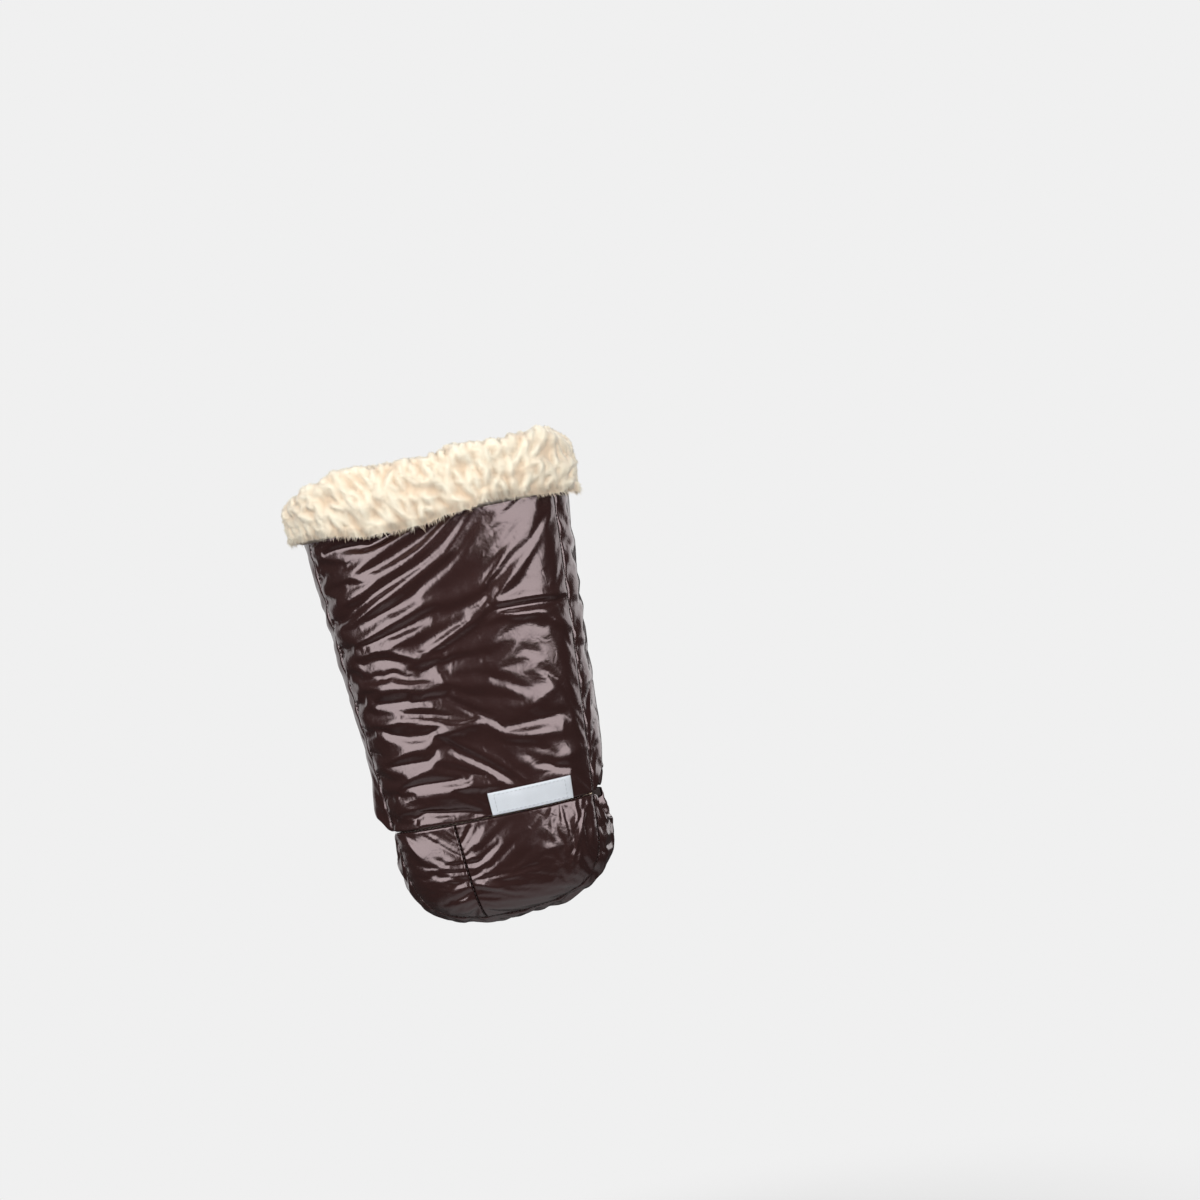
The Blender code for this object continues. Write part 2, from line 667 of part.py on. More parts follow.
def add_pouch_threads(thread, parts):
    """The seam round the pouch's front, and the upright seam between its two front panels."""
    turns = spaced(0.0, 1.0, RIM_THREAD_STEPS)
    rim = add_thread("rim_thread", in_seam(rim_seam_point(turn) for turn in turns), thread, parts)
    low = rim_seam_height(PANEL_SEAM_X) + THREAD_END_GAP
    heights = spaced(POUCH_HIGH - THREAD_END_GAP, low, PANEL_THREAD_STEPS)
    upright = add_thread("panel_thread", in_seam(front_point(PANEL_SEAM_X, z) for z in heights), thread, parts)
    return [rim, upright]


# Hinge lines: the waist seam at the front, and the fold at the tab's root.

def add_hinge(name, place, collection):
    hinge = bpy.data.objects.new(name, None)
    hinge.empty_display_size = THREAD_END_GAP
    hinge.location = place
    collection.objects.link(hinge)
    return hinge


def hang(pieces, hinge):
    bpy.context.view_layer.update()
    for piece in pieces:
        piece.parent = hinge
        piece.matrix_parent_inverse = hinge.matrix_world.inverted()


def main():
    clear_scene()
    parts = new_collection("hand_warmer_muff")
    cutters = new_collection("cutters")
    materials = {
        "shell": new_material("shell_nylon", (0.045, 0.018, 0.016), 0.22),
        "batting": new_material("batting", (0.85, 0.84, 0.80), 0.95),
        "plush": new_material("plush", (0.84, 0.71, 0.50), 0.95),
        "thread": new_material("thread", (0.035, 0.015, 0.013), 0.60),
        "binding": new_material("facing", (0.040, 0.017, 0.015), 0.55),
        "tape": new_material("closure_tape", (0.022, 0.013, 0.012), 0.90),
        "label": new_material("label", (0.72, 0.75, 0.80), 0.75),
    }
    cutter = add_bar_cutter(cutters)

    add_sleeve_front(materials, parts)
    add_sleeve_back(materials, parts, cutter)
    add_cuff(materials, parts)
    add_label(materials, parts)
    add_loop_tape(materials, parts)
    add_sleeve_threads(materials["thread"], parts)

    pouch = add_pouch_front(materials, parts)
    pouch += add_pouch_wrap(materials, parts, cutter)
    pouch += add_pouch_threads(materials["thread"], parts)
    pouch.append(add_tab_root(materials, parts))
    tab = add_tab(materials, parts)

    waist_hinge = add_hinge("waist_hinge", front_point(0.0, WAIST_HEIGHT), parts)
    fold = Vector((0.0, half_axes(POUCH_HIGH)[1], POUCH_HIGH))
    tab_hinge = add_hinge("tab_hinge", sunk(fold, TAB_FAR), parts)
    hang(tab, tab_hinge)
    hang(pouch + [tab_hinge], waist_hinge)


main()
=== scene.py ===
# %% [markdown]
# # A hand warmer muff
# The muff is a padded sleeve of glossy coated nylon. A plush cuff is turned over its mouth, and a lined
# pouch hangs under the waist seam, swings on it and closes at the back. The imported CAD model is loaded
# first. It is the fixed frame, and every piece made here lies where its solid lies, so nothing has to be
# fitted by eye.

# %% Load the frame
import math

import bpy
import numpy as np
from mathutils import Matrix, Vector


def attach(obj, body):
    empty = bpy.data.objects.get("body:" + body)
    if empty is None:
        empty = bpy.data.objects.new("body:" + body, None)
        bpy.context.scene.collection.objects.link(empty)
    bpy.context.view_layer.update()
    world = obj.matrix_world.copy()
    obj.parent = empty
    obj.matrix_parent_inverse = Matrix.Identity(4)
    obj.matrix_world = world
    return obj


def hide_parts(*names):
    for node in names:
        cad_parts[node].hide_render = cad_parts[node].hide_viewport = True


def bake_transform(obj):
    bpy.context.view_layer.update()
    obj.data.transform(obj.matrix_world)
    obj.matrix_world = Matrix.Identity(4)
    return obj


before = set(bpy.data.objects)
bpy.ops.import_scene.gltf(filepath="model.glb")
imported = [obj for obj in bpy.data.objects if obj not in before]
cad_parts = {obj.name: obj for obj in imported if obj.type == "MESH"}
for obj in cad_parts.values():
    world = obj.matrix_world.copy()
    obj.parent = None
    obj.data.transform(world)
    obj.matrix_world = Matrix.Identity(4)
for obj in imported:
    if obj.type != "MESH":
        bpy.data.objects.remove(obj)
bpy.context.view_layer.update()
bpy.ops.object.select_all(action="DESELECT")

# %% [markdown]
# ## The outer surface
# The solids were cut from one smooth surface: a tapered sleeve above the waist and a rounded bowl below
# it. The same sizes and formulas are repeated here, with numpy arrays in place of single points,
# because a cloth panel has thousands of points. Seams draw the padding in, so the surface dips there.

# %% Sizes of the muff, in metres
MM = 0.001
MOUTH_WIDTH = 0.186
MOUTH_DEPTH = 0.104
WAIST_WIDTH = 0.151
WAIST_DEPTH = 0.092
SLEEVE_HEIGHT = 0.232
WAIST_HEIGHT = 0.004
POUCH_DROP = 0.069
BELLY = 0.004
PLAN_POWER = 2.4
BOTTOM_POWER = 4.2
SEAM_DIP = 0.0020
SEAM_DIP_REACH = 0.0090
SIDE_SEAM_Y = -0.021
PANEL_SEAM_X = -0.0245
OPENING_RADIUS = 0.017
BATTING_NEAR = 0.0012
BATTING_FAR = 0.0092


# %% Points on the surface
def half_axes(height):
    """Half the width and half the depth of the plan at a height."""
    rise = np.clip(height / SLEEVE_HEIGHT, 0.0, 1.0)
    half_width = (WAIST_WIDTH + (MOUTH_WIDTH - WAIST_WIDTH) * rise) / 2
    half_depth = (WAIST_DEPTH + (MOUTH_DEPTH - WAIST_DEPTH) * rise) / 2
    return half_width, half_depth + BELLY * np.sin(np.pi * rise)


def signed_power(value, power):
    return np.sign(value) * np.abs(value) ** power


def outward(points):
    """Unit normals of the outer surface at points on or near it."""
    half_width, half_depth = half_axes(points[..., 2])
    below = np.minimum(points[..., 2], 0.0) / POUCH_DROP
    slope_x = PLAN_POWER * signed_power(points[..., 0] / half_width, PLAN_POWER - 1) / half_width
    slope_y = PLAN_POWER * signed_power(points[..., 1] / half_depth, PLAN_POWER - 1) / half_depth
    slope_z = BOTTOM_POWER * signed_power(below, BOTTOM_POWER - 1) / POUCH_DROP
    normals = np.stack([slope_x, slope_y, slope_z], axis=-1)
    return normals / np.linalg.norm(normals, axis=-1, keepdims=True)


def seam_dip(points):
    """How far the nearest seam draws the shell in."""
    x, y, z = np.moveaxis(points, -1, 0)
    nearest = np.minimum(np.abs(y - SIDE_SEAM_Y), np.abs(z - WAIST_HEIGHT))
    on_pouch_front = (z < WAIST_HEIGHT) & (y < SIDE_SEAM_Y)
    nearest = np.where(on_pouch_front, np.minimum(nearest, np.abs(x - PANEL_SEAM_X)), nearest)
    return SEAM_DIP * np.exp(-((nearest / SEAM_DIP_REACH) ** 2))


def sunk(points, depth):
    """Points at a depth under the surface. The seams' dip fades out through the batting."""
    through = (depth - BATTING_NEAR) / (BATTING_FAR - BATTING_NEAR)
    share = np.clip(1 - through, 0.0, 1.0)
    return points - outward(points) * (seam_dip(points) * share + depth)[..., None]


print("sleeve at the mouth:", [round(float(2 * half), 3) for half in half_axes(SLEEVE_HEIGHT)])

# %% Lines on the surface
FINE = 600


def line_length(line):
    return np.linalg.norm(np.diff(line, axis=0), axis=1).sum()


def even_steps(line, count):
    """The same line as count points at equal distances along it."""
    lengths = np.linalg.norm(np.diff(line, axis=0), axis=1)
    along = np.concatenate([[0.0], np.cumsum(lengths)])
    wanted = np.linspace(0.0, along[-1], count)
    return np.stack([np.interp(wanted, along, line[:, axis]) for axis in range(3)], axis=1)


def ring(height, turns):
    """Points of the plan at a height, in the directions that turns gives, from +X towards +Y."""
    half_width, half_depth = half_axes(height)
    across, ahead = np.cos(turns), np.sin(turns)
    spread = np.abs(across / half_width) ** PLAN_POWER + np.abs(ahead / half_depth) ** PLAN_POWER
    reach = spread ** (-1 / PLAN_POWER)
    return np.stack([reach * across, reach * ahead, np.full(len(turns), height)], axis=1)


def plan_arc(height, edge_y, count, back=False):
    """The plan at a height between two places at edge_y: left to right in front, right to left behind."""
    half_width, half_depth = half_axes(height)
    edge_x = half_width * (1 - abs(edge_y / half_depth) ** PLAN_POWER) ** (1 / PLAN_POWER)
    start, end = math.atan2(edge_y, -edge_x), math.atan2(edge_y, edge_x)
    if back:
        start, end = end, start % (2 * math.pi)
    return even_steps(ring(height, np.linspace(start, end, FINE)), count)


print("round the mouth:", round(line_length(ring(SLEEVE_HEIGHT, np.linspace(0.0, 2 * np.pi, FINE))), 3))

# %% [markdown]
# ## Helpers for finishes
# A finish is a node tree on a Principled shader. These helpers add a node, set or link its inputs, and
# start a node group with named sockets, so that one effect can serve several cloths with other values.


# %% Node helpers
def add_node(tree, kind, settings=None, inputs=None):
    """A new node: settings are its own fields, and inputs are values or sockets by name or number."""
    node = tree.nodes.new(kind)
    for name, value in (settings or {}).items():
        setattr(node, name, value)
    for name, value in (inputs or {}).items():
        if isinstance(value, bpy.types.NodeSocket):
            tree.links.new(value, node.inputs[name])
        else:
            node.inputs[name].default_value = value
    return node


def math_node(tree, operation, *values):
    return add_node(tree, "ShaderNodeMath", {"operation": operation}, dict(enumerate(values))).outputs[0]


def new_group(name, output, **inputs):
    """A shader node group with float inputs and one float output, and the sockets of both."""
    group = bpy.data.node_groups.new(name, "ShaderNodeTree")
    for label, value in inputs.items():
        socket = group.interface.new_socket(label, in_out="INPUT", socket_type="NodeSocketFloat")
        socket.default_value = value
    group.interface.new_socket(output, in_out="OUTPUT", socket_type="NodeSocketFloat")
    return group, add_node(group, "NodeGroupInput").outputs, add_node(group, "NodeGroupOutput").inputs


def use_group(tree, group, **inputs):
    """The output of a group that is placed in a finish with its own values."""
    return add_node(tree, "ShaderNodeGroup", {"node_tree": group}, inputs).outputs[0]


def new_finish(name):
    """A material, its node tree and its Principled shader."""
    finish = bpy.data.materials.new(name)
    finish.use_nodes = True
    return finish, finish.node_tree, finish.node_tree.nodes["Principled BSDF"]


def set_inputs(shader, **values):
    for name, value in values.items():
        shader.inputs[name.replace("_", " ")].default_value = value


# %% [markdown]
# ## Shared effects
# No cloth has one even colour: dye, wear and handling make it drift in soft patches. Coated nylon also
# has a fine crinkle that breaks up its gloss. Both are noise on Object coordinates, which stay put on
# the piece.

# %% Patchy tone and crinkle groups
patchy, patchy_in, patchy_out = new_group("patchy_tone", "Tone", Patch=0.02, Spread=0.1)
place = add_node(patchy, "ShaderNodeTexCoord").outputs["Object"]
patch_scale = math_node(patchy, "DIVIDE", 1.0, patchy_in["Patch"])
patch_settings = {"Vector": place, "Scale": patch_scale, "Detail": 3.0}
patch_noise = add_node(patchy, "ShaderNodeTexNoise", None, patch_settings)
centred = math_node(patchy, "SUBTRACT", patch_noise.outputs[0], 0.5)
swing = math_node(patchy, "MULTIPLY", centred, patchy_in["Spread"])
patchy.links.new(math_node(patchy, "MULTIPLY_ADD", swing, 4.0, 1.0), patchy_out["Tone"])

crinkle, crinkle_in, crinkle_out = new_group("crinkle", "Height", Size=0.005)
place = add_node(crinkle, "ShaderNodeTexCoord").outputs["Object"]
crinkle_scale = math_node(crinkle, "DIVIDE", 1.0, crinkle_in["Size"])
crinkle_settings = {"Vector": place, "Scale": crinkle_scale}
crinkle_settings |= {"Detail": 4.0, "Roughness": 0.45, "Distortion": 0.6}
crinkle_noise = add_node(crinkle, "ShaderNodeTexNoise", None, crinkle_settings)
crinkle.links.new(crinkle_noise.outputs[0], crinkle_out["Height"])
print("groups:", [group.name for group in bpy.data.node_groups])

# %% [markdown]
# ## Shell nylon
# The shell is a dark brown downproof nylon with a shiny coating. The coating reflects the studio's
# softboxes almost like lacquer, a little warmer than they are, while the dye under it stays very dark.
# So the look comes from a low roughness and a high index of refraction, not from a light base colour.

# %% Shell nylon
NYLON_DARK = (0.031, 0.0122, 0.0108, 1.0)
NYLON_SHEEN_TINT = (1.0, 0.82, 0.84, 1.0)
NYLON_ROUGHNESS = 0.20
NYLON_INDEX = 1.95


def mix_colours(tree, first, second, share=1.0, way="MIX"):
    """Two colours, mixed by a share or multiplied. Each is four numbers or a socket."""
    settings = {"data_type": "RGBA", "blend_type": way}
    inputs = {"Factor": share, "A": first, "B": second}
    return add_node(tree, "ShaderNodeMix", settings, inputs).outputs["Result"]


def dye(tree, shader, colour, tone):
    """Gives a finish its base colour, which a tone value brightens or darkens."""
    tree.links.new(mix_colours(tree, colour, tone, way="MULTIPLY"), shader.inputs["Base Color"])


def emboss(tree, shader, height, distance, strength):
    """Gives a finish a fine relief."""
    inputs = {"Height": height, "Distance": distance, "Strength": strength}
    bump = add_node(tree, "ShaderNodeBump", None, inputs)
    tree.links.new(bump.outputs["Normal"], shader.inputs["Normal"])


def make_nylon():
    finish, tree, shader = new_finish("shell_nylon")
    dye(tree, shader, NYLON_DARK, use_group(tree, patchy, Patch=0.03, Spread=0.08))
    gloss = use_group(tree, patchy, Patch=0.009, Spread=0.12)
    tree.links.new(math_node(tree, "MULTIPLY", gloss, NYLON_ROUGHNESS), shader.inputs["Roughness"])
    emboss(tree, shader, use_group(tree, crinkle, Size=0.006), 0.0006, 0.5)
    set_inputs(shader, IOR=NYLON_INDEX, Specular_Tint=NYLON_SHEEN_TINT)
    return finish


nylon = make_nylon()
print("finish:", nylon.name)

# %% [markdown]
# ## A panel of padded nylon
# Each padded wall starts as a flat grid that is bent onto the surface, seam to seam. The cloth is cut a
# little longer than the wall it covers, which is what makes the folds of a filled nylon jacket. Blender's
# Cloth does the same here: the grid's rest shape is longer than the panel, its borders are held, and it
# has to buckle. A Weld modifier ahead of the Cloth makes Blender read the rest shape from the shape key.


# %% Grid, cloth and padding helpers
def lay_grid(name, points):
    """A grid object with the given rows and columns of points, and its UV map in metres."""
    rows, columns = points.shape[:2]
    bpy.ops.object.select_all(action="DESELECT")
    bpy.ops.mesh.primitive_grid_add(x_subdivisions=columns - 1, y_subdivisions=rows - 1, size=1)
    piece = bpy.context.object
    piece.name = name
    piece.data.name = name
    put_points(piece, points)
    width, height = line_length(points[rows // 2]), line_length(points[:, columns // 2])
    flat = np.zeros(len(piece.data.loops) * 2, np.float32)
    piece.data.uv_layers[0].data.foreach_get("uv", flat)
    in_metres = flat.reshape(-1, 2) * np.array([width, height], np.float32)
    piece.data.uv_layers[0].data.foreach_set("uv", in_metres.ravel())
    return piece


def put_points(piece, points):
    piece.data.vertices.foreach_set("co", points.astype(np.float32).ravel())
    piece.data.update()


def get_points(mesh):
    flat = np.zeros(len(mesh.vertices) * 3, np.float32)
    mesh.vertices.foreach_get("co", flat)
    return flat.reshape(-1, 3).astype(float)


def edge_mask(points):
    """True along the border of a grid of points."""
    mask = np.zeros(points.shape[:2], bool)
    mask[[0, -1], :] = True
    mask[:, [0, -1]] = True
    return mask


# %% Let the cloth buckle
CLOTH_FRAMES = 24
LOOSE_HOLD = 0.0008


def hold_points(piece, hold):
    """A vertex group that pins the cloth. Blender takes the fourth power of a weight as the pull."""
    group = piece.vertex_groups.new(name="held")
    weights = np.round(hold.ravel() ** 0.25, 3)
    for weight in np.unique(weights):
        members = np.nonzero(weights == weight)[0]
        group.add([int(index) for index in members], float(weight), "REPLACE")
    return group


def buckle(piece, cut, hold, bending=5.0):
    """Runs the cloth from the piece's shape towards the longer cut, and keeps where it comes to."""
    piece.shape_key_add(name="Basis")
    key = piece.shape_key_add(name="cut")
    key.data.foreach_set("co", cut.astype(np.float32).ravel())
    group = hold_points(piece, hold)
    weld = piece.modifiers.new("weld", "WELD")
    weld.merge_threshold = 1e-7
    cloth = piece.modifiers.new("cloth", "CLOTH")
    cloth.settings.rest_shape_key = key
    cloth.settings.vertex_group_mass = group.name
    for name, value in {
        "pin_stiffness": 1.0,
        "quality": 6,
        "mass": 0.15,
        "air_damping": 1.0,
        "tension_stiffness": 15.0,
        "compression_stiffness": 15.0,
        "shear_stiffness": 5.0,
        "bending_stiffness": bending,
        "tension_damping": 5.0,
        "compression_damping": 5.0,
        "shear_damping": 5.0,
        "bending_damping": 0.5,
    }.items():
        setattr(cloth.settings, name, value)
    cloth.settings.effector_weights.gravity = 0.0
    cloth.collision_settings.use_collision = False
    cloth.collision_settings.use_self_collision = False
    for step in range(1, CLOTH_FRAMES + 1):
        bpy.context.scene.frame_set(step)
    settled = piece.evaluated_get(bpy.context.evaluated_depsgraph_get())
    points = get_points(settled.data)
    piece.modifiers.clear()
    piece.shape_key_clear()
    piece.vertex_groups.clear()
    put_points(piece, points)
    bpy.context.scene.frame_set(1)


# %% Give the cloth its filling
def apply_modifier(piece, kind, **settings):
    bpy.ops.object.select_all(action="DESELECT")
    bpy.context.view_layer.objects.active = piece
    piece.select_set(True)
    modifier = piece.modifiers.new(kind.lower(), kind)
    for name, value in settings.items():
        setattr(modifier, name, value)
    bpy.ops.object.modifier_apply(modifier=modifier.name)


def fill(piece, inner, levels=1):
    """Closes the cloth with an inner side: Solidify adds the second side after the first one's points."""
    outer = get_points(piece.data)
    apply_modifier(piece, "SOLIDIFY", thickness=BATTING_FAR, offset=-1.0)
    put_points(piece, np.concatenate([outer, inner.reshape(-1, 3)]))
    if levels:
        apply_modifier(piece, "SUBSURF", levels=levels, render_levels=levels)
    piece.data.shade_smooth()


def count_triangles(piece):
    return sum(len(face.vertices) - 2 for face in piece.data.polygons)


def dress(piece, finish):
    """Gives a padded piece its finish, and prints its name and how many triangles it has."""
    piece.data.materials.append(finish)
    print(piece.name + ":", count_triangles(piece), "triangles")


# %% [markdown]
# ## Folds
# A real fold is a ridge that starts at nothing, swells and dies out again. One stroke has two ends, a
# width and a height, and follows that shape. The strokes give the cloth a start in the right direction,
# and the simulation then makes them into creases. Fine seeded waves wake up the smaller wrinkles.


# %% Strokes and waves
def strokes(x, z, folds):
    """Height of all folds at places x, z. Ends, width and height of a fold are in millimetres."""
    lift = np.zeros_like(x)
    for (x0, z0), (x1, z1), width, height in folds:
        length = math.hypot(x1 - x0, z1 - z0)
        way_x, way_z = (x1 - x0) / length, (z1 - z0) / length
        along = ((x / MM - x0) * way_x + (z / MM - z0) * way_z) / length
        across = (z / MM - z0) * way_x - (x / MM - x0) * way_z
        taper = np.sin(np.pi * np.clip(along, 0.0, 1.0)) ** 0.6
        lift += height * taper * np.exp(-((across / (width * (0.35 + 0.65 * taper))) ** 2))
    return lift * MM


def waves(x, z, rng, shortest, longest, low_angle, high_angle):
    """Sixty sine waves of seeded lengths and directions, with a standard deviation of one."""
    height = np.zeros_like(x)
    for _ in range(60):
        length = rng.uniform(shortest, longest)
        angle = math.radians(rng.uniform(low_angle, high_angle))
        phase = rng.uniform(0.0, 2 * math.pi)
        height += np.sin((math.cos(angle) * x + math.sin(angle) * z) * 2 * math.pi / length + phase)
    return height / height.std()


def lengthened(points, excess):
    """The grid with each column cut longer upwards by a share that excess gives at every point."""
    steps = np.linalg.norm(np.diff(points, axis=0), axis=2)
    added = np.zeros(points.shape[:2])
    added[1:] = np.cumsum((excess[1:] + excess[:-1]) / 2 * steps, axis=0)
    cut = points.copy()
    cut[..., 2] += added - added[-1:] / 2
    return cut


# %% [markdown]
# ## Front of the sleeve
# The front panel runs from the waist seam to the mouth, where the cuff hides its top. In the photograph
# its left half is full of folds that rise to the right, its right half is smooth, and one deep pinch
# runs in from the right seam at mid height. The cloth under the label is held flat, as the sewing does.

# %% Front panel: shape, folds and cut
SEAM_CLEAR = 0.0001
FRONT_ARC = 0.206
FRONT_STEP = 0.0022
CUFF_HIDES = 0.214
LABEL_WIDTH = 0.0545
LABEL_HEIGHT = 0.0155
LABEL_LEFT_X = 0.003
LABEL_LOW = 0.00495
FRONT_FOLDS = (
    ((32, 143), (81, 139), 5.0, 2.4),
    ((35, 139), (81, 136), 3.2, -3.0),
    ((32, 135), (74, 131), 4.0, 2.2),
    ((33, 143), (65, 173), 4.5, 1.5),
    ((25, 151), (53, 178), 4.0, 1.2),
    ((61, 131), (83, 113), 4.0, 1.4),
    ((-66, 177), (-15, 199), 5.0, 1.6),
    ((-68, 161), (6, 191), 5.0, 1.8),
    ((-62, 149), (18, 184), 4.5, 1.8),
    ((-73, 147), (-29, 160), 4.5, 1.4),
    ((-66, 134), (0, 154), 4.5, 1.9),
    ((-62, 125), (-13, 136), 5.0, 1.6),
    ((-47, 128), (-11, 114), 5.0, 1.5),
    ((-19, 119), (20, 135), 3.6, 1.6),
    ((-67, 105), (-25, 100), 5.0, 1.5),
    ((-60, 98), (-9, 94), 5.0, 1.4),
    ((-65, 79), (-33, 78), 4.5, 1.3),
    ((-63, 53), (11, 70), 5.5, 1.9),
    ((-25, 66), (17, 69), 4.0, 1.3),
    ((-58, 35), (3, 60), 5.5, 1.9),
    ((-17, 28), (37, 37), 4.5, 1.5),
    ((23, 59), (68, 63), 5.0, -1.6),
    ((21, 55), (62, 51), 5.0, 1.3),
    ((49, 31), (73, 38), 4.5, 1.2),
    ((41, 70), (64, 83), 4.5, 1.0),
)


def sleeve_rows(low, high, step):
    return np.linspace(low, high, round((high - low) / step) + 1)


def under_label(points, margin):
    """True where the label lies, with a margin round it."""
    x, y, z = np.moveaxis(points, -1, 0)
    across = (x > LABEL_LEFT_X - margin) & (x < LABEL_LEFT_X + LABEL_WIDTH + margin)
    return across & (y < SIDE_SEAM_Y) & (z > LABEL_LOW - margin) & (z < LABEL_LOW + LABEL_HEIGHT + margin)


front_edge = SIDE_SEAM_Y - SEAM_CLEAR
front_heights = sleeve_rows(WAIST_HEIGHT + SEAM_CLEAR, SLEEVE_HEIGHT, FRONT_STEP)
front_columns = round(FRONT_ARC / FRONT_STEP) + 1
front_wall = np.stack([plan_arc(z, front_edge, front_columns) for z in front_heights])
front_flat = sunk(front_wall, 0.0)
print("front panel grid:", front_wall.shape[:2])


# %% Front panel: how it starts and how long it is cut
FRONT_FOLD_SHARE = 1.3
FRONT_WAVE = 0.0005
FRONT_SLACK, LEFT_SLACK, PINCH_SLACK = 0.002, 0.064, 0.12
PINCH_X, PINCH_Z = 0.057, 0.1375
LABEL_MARGIN = 0.003
FRONT_WIDENING = 1.003


def logistic(value):
    return 1 / (1 + np.exp(-value))


def front_start(points):
    """How far the folds and waves lift the front before the cloth settles."""
    x, z = points[..., 0], points[..., 2]
    rng = np.random.default_rng(3)
    calm = 0.1 + 0.9 * logistic((0.015 - x) / 0.012)
    fine = waves(x, z, rng, 0.012, 0.040, 60, 140) * FRONT_WAVE
    return FRONT_FOLD_SHARE * strokes(x, z, FRONT_FOLDS) + fine * calm


def front_excess(points):
    """The share by which the front is cut too long: most on the left, and at the pinch on the right."""
    x, z = points[..., 0], points[..., 2]
    pinch = np.exp(-(((x - PINCH_X) / 0.022) ** 2) - ((z - PINCH_Z) / 0.007) ** 2)
    return FRONT_SLACK + LEFT_SLACK * logistic((0.006 - x) / 0.013) + PINCH_SLACK * pinch


# %% Front panel: let it buckle and fill it
under_cuff = front_flat[..., 2] > CUFF_HIDES
front_held = edge_mask(front_flat) | under_cuff | under_label(front_flat, LABEL_MARGIN)
front_lift = np.where(front_held, 0.0, front_start(front_flat))
front_folded = front_flat + outward(front_wall) * front_lift[..., None]
sleeve_front = lay_grid("sleeve_front", front_folded)
front_cut = lengthened(front_folded, front_excess(front_flat))
front_cut[..., :2] *= FRONT_WIDENING
buckle(sleeve_front, front_cut, np.where(front_held, 1.0, LOOSE_HOLD))
fill(sleeve_front, sunk(front_wall, BATTING_FAR))
dress(sleeve_front, nylon)
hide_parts("front_shell", "front_batting")
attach(sleeve_front, "sleeve")

# %% [markdown]
# ## Back of the sleeve
# The back panel takes in both sides of the sleeve, and rounded notches at its lower corners are the upper
# halves of the side openings. It is cut from the same surface, column by column, from the free lower edge
# to the mouth.
# Behind the closure it stays flat, and along the free edge it is thin, because the facing lies there.

# %% Back panel: shape
BACK_ARC = 0.290
BACK_STEP = 0.0029
FACING_HEIGHT = 0.0060
LAYER_GAP = 0.0004
SLEEVE_LOW = 0.00455
POUCH_HIGH = 0.00345
TAB_WIDTH = 0.116
TAB_HEIGHT = 0.034
THIN_EDGE = 0.0009
FLARE = 0.0070
FLARE_REACH = 0.012
FLARE_HEIGHT = 0.006
FLARE_SPREAD = 0.028

back_edge = SIDE_SEAM_Y + SEAM_CLEAR
back_columns = round(BACK_ARC / BACK_STEP) + 1
back_rows = round((SLEEVE_HEIGHT - SLEEVE_LOW) / BACK_STEP) + 1


def notched_rows(rows, columns, low, high, edge_y):
    """Rows on the back of the sleeve, from the free edge or the round side openings to a level top."""
    lowest = plan_arc(low, edge_y, columns, back=True)
    over_opening = np.sqrt(np.maximum(OPENING_RADIUS**2 - lowest[:, 1] ** 2, 0.0))
    starts = np.maximum(over_opening, low)
    wall = np.zeros((rows, columns, 3))
    wall[..., 2] = starts + (high - starts) * np.linspace(0.0, 1.0, rows)[:, None]
    for row in wall:
        for height in np.unique(row[:, 2]):
            same = row[:, 2] == height
            row[same, :2] = plan_arc(height, edge_y, columns, back=True)[same, :2]
    return wall


def flared(points):
    """The left side stands out near the waist, where the cloth round the opening is pushed out."""
    x, y, z = np.moveaxis(points, -1, 0)
    behind_seam = np.clip((y - SIDE_SEAM_Y) / FLARE_REACH, 0.0, 1.0)
    leftmost = np.clip(-x / (WAIST_WIDTH / 2), 0.0, 1.0) ** 6
    moved = points.copy()
    moved[..., 0] -= FLARE * behind_seam * leftmost * np.exp(-(((z - FLARE_HEIGHT) / FLARE_SPREAD) ** 2))
    return moved


back_wall = notched_rows(back_rows, back_columns, SLEEVE_LOW, SLEEVE_HEIGHT, back_edge)
back_flat = flared(sunk(back_wall, 0.0))
print("back panel grid:", back_wall.shape[:2])


# %% Back panel: let it buckle and fill it
BACK_FOLDS = (
    ((62, 184), (4, 196), 5.0, 2.0),
    ((-8, 190), (-60, 178), 5.0, 1.8),
    ((66, 164), (-10, 176), 5.5, 2.3),
    ((-18, 168), (-66, 158), 5.0, 1.9),
    ((58, 146), (2, 154), 5.0, 1.9),
    ((10, 138), (-62, 146), 5.5, 2.3),
    ((66, 126), (-6, 132), 5.5, 2.3),
    ((-14, 122), (-66, 128), 5.0, 1.8),
    ((60, 106), (8, 114), 5.0, 1.9),
    ((4, 102), (-64, 108), 5.5, 2.2),
    ((64, 86), (-20, 94), 5.5, 2.3),
    ((-26, 84), (-66, 90), 5.0, 1.7),
    ((56, 68), (0, 74), 5.0, 1.8),
    ((-6, 62), (-62, 72), 5.5, 2.2),
    ((40, 50), (-16, 54), 4.5, 1.4),
)
BACK_FOLD_SHARE = 1.2
FINE_WAVE = 0.0003
SIDE_SLACK, BACK_SLACK = 0.010, 0.030
BACK_WIDENING = 1.006
TAB_MARGIN = 0.004
EDGE_OVERLAP = 0.001


def behind_tab(points, margin):
    x, y, z = np.moveaxis(points, -1, 0)
    return (np.abs(x) < TAB_WIDTH / 2 + margin) & (y > 0) & (z < POUCH_HIGH + TAB_HEIGHT + margin)


def unrolled(wall, axis):
    """Distances along the rows (axis 1) or the columns (axis 0) of a grid of points."""
    first = wall[:, :1] if axis else wall[:1]
    return np.cumsum(np.linalg.norm(np.diff(wall, axis=axis, prepend=first), axis=2), axis=axis)


